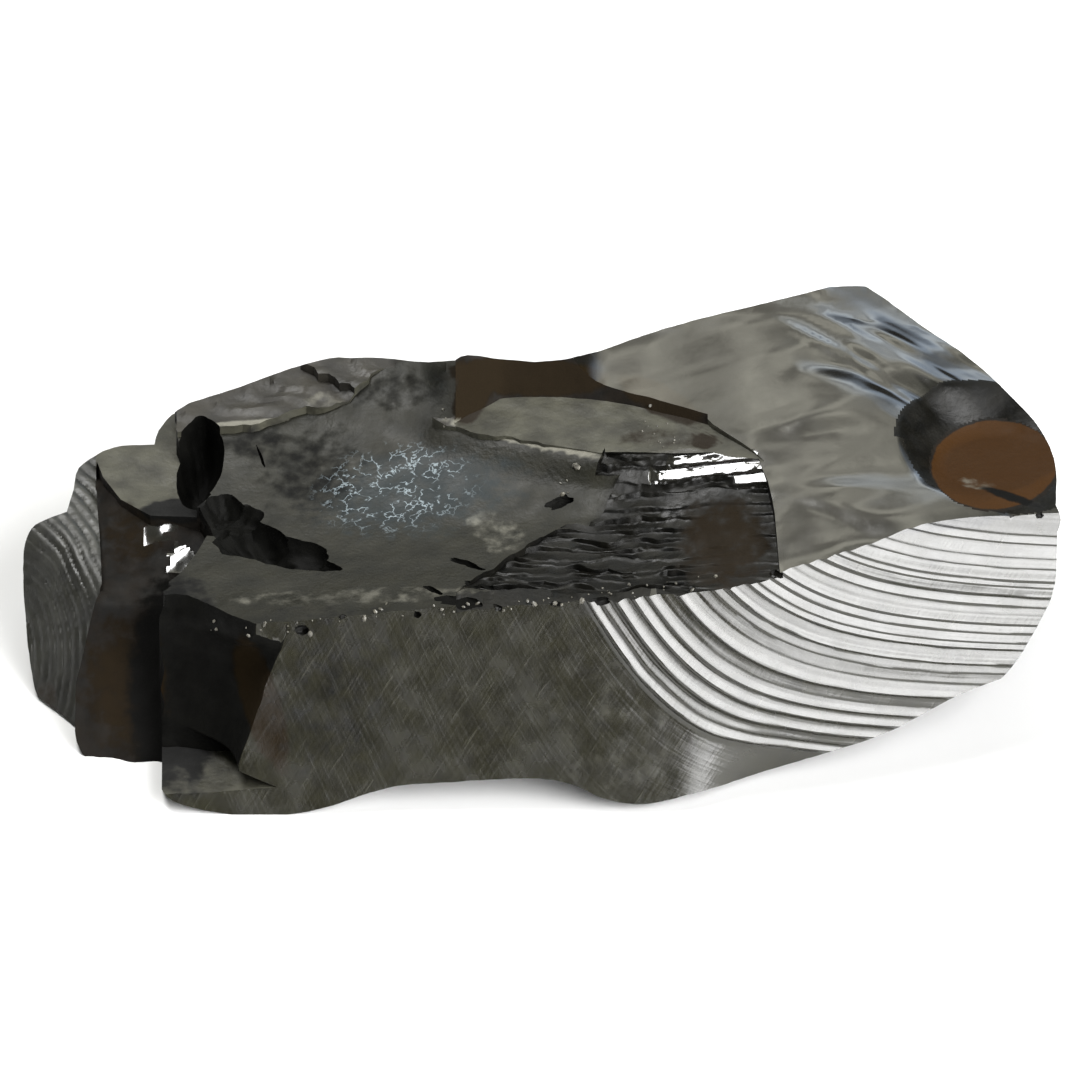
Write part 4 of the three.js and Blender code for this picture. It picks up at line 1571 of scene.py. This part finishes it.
SURFACES: dict[Finish, Surface] = {
    # Fresh glass-like break: nearly black, and what it mirrors gives it its light, beside the painted shade
    # and painted brown reflection laid on it in places.
    Finish.GLASSY: Surface(
        "shungite_glassy_fracture", "#12110f", "#1b1a17", 6.0, (0.09, 0.17), 2.1, 1.6, 0.012,
        (Paint.STAIN, Paint.PAINTED_REFLECTION, Paint.PAINTED_SHADE)),
    # Dull break: a felt of tiny steps scatters the light, so it is an even dark olive grey, with painted
    # shade laid on the back of the hollow.
    Finish.DULL: Surface(
        "shungite_dull_fracture", "#15150f", "#212018", 2.4, (0.45, 0.62), 1.36, 0.35, 0.05,
        (Paint.BLOOM, Paint.STAIN, Paint.DUST, Paint.PAINTED_SHADE), crackled=True),
    # Pale break: scuffed plates with a bloom of fine powder.
    Finish.PALE: Surface(
        "shungite_scuffed_fracture", "#2a2922", "#444339", 2.0, (0.4, 0.6), 1.42, 0.4, 0.05,
        (Paint.STAIN, Paint.PAINTED_SHADE)),
    # Ribbed break: bright along the crest of each rib, with fine strokes across, and painted light and
    # painted shade that make it paler to the right and darker to the left.
    Finish.RIBBED: Surface(
        "shungite_ribbed_fracture", "#1b1a13", "#232218", 1.2, (0.2, 0.29), 1.72, 0.9, 0.02,
        (Paint.PAINTED_LIGHT, Paint.STAIN, Paint.DUST, Paint.PAINTED_SHADE), strokes=0.8),
    # Stepped glassy break: black, with a bright line on each step that faces the light.
    Finish.HACKLED: Surface(
        "shungite_hackled_fracture", "#070706", "#0f0e0a", 1.5, (0.32, 0.55), 1.3, 0.5, 0.05,
        (Paint.STAIN, Paint.DUST, Paint.PAINTED_SHADE)),
    # Hollow: rough walls that give back almost nothing, their near-black colour, darker than most of the
    # stone, painted shade in the pits, hollows and dark walls.
    Finish.HOLLOW: Surface(
        "shungite_hollow_painted_shade", "#060605", "#0c0c0a", 1.5, (0.55, 0.75), 1.15, 0.6, 0.05, (Paint.STAIN,)),
    # Ribbed scale: dull olive grey, each rib lit along its back.
    Finish.SCALE: Surface(
        "shungite_ribbed_scale", "#171713", "#272721", 1.6, (0.4, 0.58), 1.6, 0.5, 0.05,
        (Paint.STAIN, Paint.DUST)),
    # Lobed skirt: dark, with thin iron stains in its folds and painted shade; the faces of the dish that
    # carry the painted brown reflection take it too.
    Finish.LOBED: Surface(
        "shungite_iron_stained_fracture", "#0c0b09", "#17120c", 2.0, (0.6, 0.8), 1.25, 0.6, 0.05,
        (Paint.STAIN, Paint.PAINTED_REFLECTION, Paint.DUST, Paint.PAINTED_SHADE)),
    # Layered ledge: thin plates, dull on top and dark at their broken edges.
    Finish.LAYERED: Surface(
        "shungite_layered_fracture", "#1a1814", "#2a2720", 2.4, (0.45, 0.62), 1.45, 0.45, 0.05,
        (Paint.STAIN, Paint.DUST, Paint.PAINTED_SHADE)),
    # Old break at the back: duller than the fresh ones, as if handled.
    Finish.HIDDEN: Surface(
        "shungite_weathered_fracture", "#191916", "#2c2b27", 4.0, (0.22, 0.42), 1.8, 0.8, 0.05),
    # Fresh crumb: freshly crushed edges, paler than the stone round them.
    Finish.CRUMB: Surface("shungite_fresh_crumb", "#3a3832", "#6c695f", 0.7, (0.3, 0.5), 1.6, 0.3, 0.03),
}


@dataclass(frozen=True)
class Mark:
    """A soft patch of colour: what it is, its middle, half sizes and turn, and how strong it is."""

    paint: Paint
    u: float
    v: float
    wide: float
    high: float
    turn: float = 0.0
    amount: float = 1.0
    soft: float = 0.35

    def at(self, u: Array, v: Array) -> Array:
        """How strong the mark is.

        Args:
            u: Across the outline's plane.
            v: Up it.

        Returns:
            Strengths from 0 to the amount.
        """
        c, s = math.cos(math.radians(self.turn)), math.sin(math.radians(self.turn))
        along, side = (u - self.u) * c + (v - self.v) * s, (v - self.v) * c - (u - self.u) * s
        reach = np.hypot(along / self.wide, side / self.high)
        return self.amount * (1 - ease(reach, 1 - self.soft, 1 + self.soft))


MARKS: tuple[Mark, ...] = (
    Mark(Paint.STAIN, -1.0, 13.2, 6.3, 1.5, -3, 1.1),
    Mark(Paint.STAIN, -5.3, 11.6, 1.3, 2.2, -20, 1.1),
    Mark(Paint.STAIN, 9.2, 11.4, 3.7, 1.2, -27),
    Mark(Paint.STAIN, 12.6, 8.2, 1.2, 0.6, 0),
    Mark(Paint.STAIN, 14.2, 0.4, 3.9, 3.6, 20, 0.8, 0.7),
    # Painted shade: of the marks below, the near-black ones lay shade on the dark corner, under the plate, at
    # the back of the hollow and on the left of the front face.
    Mark(Paint.PAINTED_SHADE, -27.8, -10.5, 4.0, 8.5, 0, 1.0, 0.4),
    Mark(Paint.PAINTED_SHADE, 30.5, 1.9, 5.5, 0.7, 4, 0.9, 0.5),
    Mark(Paint.PAINTED_SHADE, -27.6, 2.9, 3.2, 0.9, 0, 1.1, 0.3),
    Mark(Paint.PAINTED_SHADE, -21.6, 8.0, 3.0, 1.6, 0, 0.6, 0.6),
    Mark(Paint.PAINTED_SHADE, -17.6, 5.6, 4.6, 4.2, 0, 0.58, 0.8),
    Mark(Paint.PAINTED_SHADE, -16.0, -11.0, 7.0, 9.0, 0, 0.5, 0.8),
    # Painted light: the front face made paler towards its right.
    Mark(Paint.PAINTED_LIGHT, 8.0, -13.5, 9.5, 9.5, 0, 0.35, 1.0),
    Mark(Paint.PAINTED_SHADE, -11.0, 12.2, 5.0, 1.8, 0, 0.5, 0.6),
    Mark(Paint.STAIN, 9.5, 8.5, 4.5, 1.0, 0, 0.5, 0.5),
    Mark(Paint.STAIN, -31.4, 0.9, 2.6, 3.0, 0, 0.55, 0.6),
    Mark(Paint.STAIN, -31.9, -10.5, 3.4, 5.6, 0, 0.75, 0.6),
    Mark(Paint.STAIN, -21.3, -12.0, 1.5, 5.4, 17),
    Mark(Paint.STAIN, -38, -12, 1, 2, 0, 0.6),
    # Painted reflection: the flat brown oval that the dish mirrors.
    Mark(Paint.PAINTED_REFLECTION, 34.9, 6.4, 4.8, 3.4, 4, 1.2, 0.06),
    Mark(Paint.DUST, 33.6, 4.9, 1.7, 0.5, -8, 0.45, 0.6),
    # Painted shade: the dark crescent beside the brown oval in the dish.
    Mark(Paint.PAINTED_SHADE, 36.2, 3.9, 2.6, 0.35, -18, 0.9, 0.5),
    Mark(Paint.CRACKLE, -11.0, 4.6, 5.3, 2.9, 8, 0.75, 0.6),
    Mark(Paint.BLOOM, -9.5, 4.4, 8.5, 3.6, 8, 0.75, 0.8),
    Mark(Paint.DUST, -14, -3.7, 13, 0.7, 2, 0.4),
    Mark(Paint.DUST, -3.4, 1.2, 2.9, 1.7, -25, 0.42),
    Mark(Paint.DUST, -22.4, 9.7, 3.3, 0.25, 4, 0.8),
    Mark(Paint.DUST, -16.6, 11.4, 1.9, 0.8, 8, 0.42),
    Mark(Paint.DUST, -1.2, 8.4, 6.8, 0.5, -13, 0.8),
)


# ---- the stone ----
@dataclass
class Stone:
    """The whole stone, broken out of its blank."""

    blank: Blank = field(default_factory=Blank)
    front: FrontFace = field(default_factory=FrontFace)
    top: GlassyTop = field(default_factory=GlassyTop)
    hollow: DullHollow = field(default_factory=DullHollow)
    hackles: Hackles = field(default_factory=Hackles)
    left: LeftEnd = field(default_factory=LeftEnd)
    hidden: HiddenSides = field(default_factory=HiddenSides)
    crumbs: Crumbs = field(default_factory=Crumbs)
    sharp: float = math.radians(26)
    shiny: tuple[float, float, float, float] = (-27.2, 0.4, 3.6, 2.4)  # glassy flecks under the left plate
    painted_reflection_oval: tuple[float, float, float, float] = (34.9, 6.4, 5.0, 3.6)  # the brown reflection painted inside the dish

    def build(self) -> bpy.types.Object:
        """Breaks the stone out of its blank.

        Returns:
            The stone, in millimetres in the outline's frame.
        """
        relief = relief_tree()
        stone = self.blank.build()
        for name, tools in (
            ("glassy top", self.top.tools(relief)),
            ("dull hollow", self.hollow.tools(relief)),
            ("hackles", self.hackles.tools(relief)),
            ("left end", self.left.tools(relief, self.front)),
            ("front face", self.front.tools(relief)),
            ("hidden sides", self.hidden.tools()),
        ):
            for tool in tools:
                cut(stone, tool)
            log.info("%s: %d breaks, %d faces so far", name, len(tools), len(stone.data.polygons))
        crumbs = self.crumbs.build(stone)
        with bpy.context.temp_override(active_object=stone, selected_editable_objects=[stone, crumbs]):
            bpy.ops.object.join()
        log.info("crumbs: %d faces so far", len(stone.data.polygons))
        return stone

    def dress(self, stone: bpy.types.Object) -> None:
        """Gives the stone its finishes and marks, and brings it to the part's frame.

        Args:
            stone: The stone.
        """
        mesh = stone.data
        points = read(mesh.vertices, "co", np.float32).reshape(-1, 3).astype(float)
        u, v = drawn(points)
        # The strength of each paint at each point, the painted shade, painted light and painted reflection
        # among them.
        for paint in Paint:
            strengths = [mark.at(u, v) for mark in MARKS if mark.paint is paint]
            store(stone, paint.held, np.maximum.reduce(strengths))
        rank, across = self.front.rank(u, v)
        store(stone, "front", np.stack([rank, across, 0 * rank], -1))
        # The breaks leave two pieces of the blank in front of the stone, out of the CAD box, and some runs
        # of crumbs land on them. All of that falls flat here, on the box's upper front edge, with no area.
        low, high = (np.asarray(corner) / MM for corner in CAD_BOX)
        points = np.clip(points - (*CENTRE, 0), low, high) * MM
        mesh.vertices.foreach_set("co", points.astype(np.float32).ravel())
        kinds = self.face_kinds(mesh)
        mesh.materials.clear()
        for finish in Finish:
            mesh.materials.append(SURFACES[finish].material())
        mesh.polygons.foreach_set("material_index", kinds)
        mesh.update()
        mesh.set_sharp_from_angle(angle=self.sharp)
        mesh.polygons.foreach_set("use_smooth", kinds != Finish.CRUMB.value)
        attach(stone, "root")
        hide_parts("shungite_stone")
        log.info("shungite_stone: %d faces", len(mesh.polygons))

    def face_kinds(self, mesh: bpy.types.Mesh) -> Array:
        """The finish of each face, with those that change inside a break.

        Args:
            mesh: The stone's mesh, in the part's frame.

        Returns:
            The number of each face's finish.
        """
        kinds = read(mesh.attributes["finish"].data, "value", np.int32)
        middles = read(mesh.polygons, "center", np.float32).reshape(-1, 3) / MM + (*CENTRE, 0)
        u, v = drawn(middles)
        glassy, lobed = Finish.GLASSY.value, Finish.LOBED.value
        flecks = rubble(u / 1.1, v / 0.8, 77) > 0.08
        kinds[(kinds == lobed) & flecks & within(u, v, self.shiny)] = glassy
        reach = self.top.reach(middles[:, 0], middles[:, 1])
        rim = 1.02 + 0.12 * (middles[:, 1] > self.top.dish.y)
        kinds[(kinds == glassy) & (reach > 0.5) & (reach < rim)] = Finish.HACKLED.value
        # The faces under the painted brown reflection take the dull lobed finish, which mirrors little.
        painted_reflection_oval = np.isin(kinds, (glassy, Finish.HACKLED.value)) & within(u, v, self.painted_reflection_oval)
        kinds[painted_reflection_oval] = lobed
        return kinds


# ---- the studio ----
@dataclass(frozen=True)
class Glow:
    """A soft light far off, by its direction in degrees, its inner and outer radius and its colour."""

    azimuth: float
    elevation: float
    inner: float
    outer: float
    colour: str
    power: float

    def direction(self) -> tuple[float, float, float]:
        """The way to the light: azimuth 0 is in front, and 90 is to the right."""
        a, e = math.radians(self.azimuth), math.radians(self.elevation)
        return math.sin(a) * math.cos(e), -math.cos(a) * math.cos(e), math.sin(e)


@dataclass
class Studio:
    """A pale floor, a plain soft surround with a few soft lights, and the camera."""

    floor_size: float = 6.0
    distance: float = 2.5
    frame_width: float = 83.08 * MM
    elevation: float = math.radians(35)
    target: tuple[float, float, float] = (-0.072 * MM, -1.663 * MM, 10.804 * MM)
    key_power: float = 4.8
    key_size: float = 0.35
    key_place: tuple[float, float, float] = (-0.22, 0.2, 0.7)
    glows: tuple[Glow, ...] = (
        Glow(50, 24, 6, 43, "#ffffff", 11.0),
        Glow(190, 49, 16, 30, "#ece9d9", 1.45),
        Glow(163, 32, 5, 16, "#b9c9dc", 1.7),
    )

    def floor(self) -> None:
        """Makes the floor."""
        half = self.floor_size / 2
        floor = new_object("studio_floor", [(x, y, 0) for x, y in square(half)], [(0, 1, 2, 3)])
        paper = bpy.data.materials.new("white_paper_matt")
        paper.use_nodes = True
        shader = paper.node_tree.nodes["Principled BSDF"]
        shader.inputs["Base Color"].default_value = linear("#e8e8e8")
        shader.inputs["Roughness"].default_value = 0.9
        shader.inputs["Specular IOR Level"].default_value = 0.1
        floor.data.materials.append(paper)

    def surround(self) -> None:
        """Makes the surround: grey overhead, dark lower down, with soft lights and thin cloud."""
        world = bpy.data.worlds.new("soft_surround")
        bpy.context.scene.world = world
        world.use_nodes = True
        tree = world.node_tree
        tree.nodes.clear()
        way = add_node(tree, "ShaderNodeTexCoord", out="Generated")
        up = add_node(tree, "ShaderNodeSeparateXYZ", None, way, out=2)
        up = add_node(tree, RANGE, None, up, 0.0, 1.0)
        sky = add_node(tree, "ShaderNodeValToRGB", None, up)
        bands = ((0.0, "#1b1c18"), (0.4, "#1e1f1b"), (0.6, "#5b5c54"), (1.0, "#64655b"))
        ramp = sky.node.color_ramp
        while len(ramp.elements) < len(bands):
            ramp.elements.new(0.5)
        for element, (place, code) in zip(ramp.elements, bands):
            element.position = place
            element.color = linear(code)
        for glow in self.glows:
            near = add_node(tree, VECTOR, "DOT_PRODUCT", way, glow.direction(), out="Value")
            rim, core = (math.cos(math.radians(angle)) for angle in (glow.outer, glow.inner))
            share = add_node(tree, RANGE, SMOOTH, near, rim, core)
            colour = (*(c * glow.power for c in linear(glow.colour)[:3]), 1.0)
            adding = {**COLOURS, "blend_type": "ADD"}
            sky = add_node(tree, MIX, adding, i0=share, i6=sky, i7=colour, out=2)
        cloud = add_node(tree, NOISE, Vector=way, Scale=4.6, Detail=2.5, Distortion=1.0)
        cloud = add_node(tree, RANGE, None, cloud, 0.38, 0.62, 0.42, 1.4)
        lit = add_node(tree, "ShaderNodeBackground", Color=sky, Strength=cloud)
        add_node(tree, "ShaderNodeOutputWorld", Surface=lit)

    def key(self) -> None:
        """Hangs the key softbox over the stone, a little back and to the left."""
        light = bpy.data.lights.new("key_softbox", "AREA")
        light.shape = "DISK"
        light.size = self.key_size
        light.energy = self.key_power
        lamp = bpy.data.objects.new("key_softbox", light)
        lamp.location = self.key_place
        lamp.rotation_euler = Vector(lamp.location).to_track_quat("Z", "Y").to_euler()
        bpy.context.scene.collection.objects.link(lamp)

    def camera(self) -> None:
        """Sets the camera, level with the stone's length and looking down on it."""
        data = bpy.data.cameras.new("camera")
        data.sensor_width = 36.0
        data.lens = data.sensor_width * self.distance / self.frame_width
        data.clip_start, data.clip_end = 0.05, 50
        eye = bpy.data.objects.new("camera", data)
        back = Vector((0, -math.cos(self.elevation), math.sin(self.elevation)))
        eye.location = Vector(self.target) + back * self.distance
        eye.rotation_euler = back.to_track_quat("Z", "Y").to_euler()
        bpy.context.scene.collection.objects.link(eye)
        bpy.context.scene.camera = eye

    def build(self) -> None:
        """Makes the whole studio."""
        self.floor()
        self.surround()
        self.key()
        self.camera()
        bpy.context.scene.view_settings.view_transform = "Standard"


def main() -> None:
    """Builds the stone and the studio."""
    logging.basicConfig(level=logging.INFO, format="%(name)s: %(message)s")
    stone = Stone()
    stone.dress(stone.build())
    Studio().build()
    log.info("sizes written")


if __name__ == "__main__":
    main()
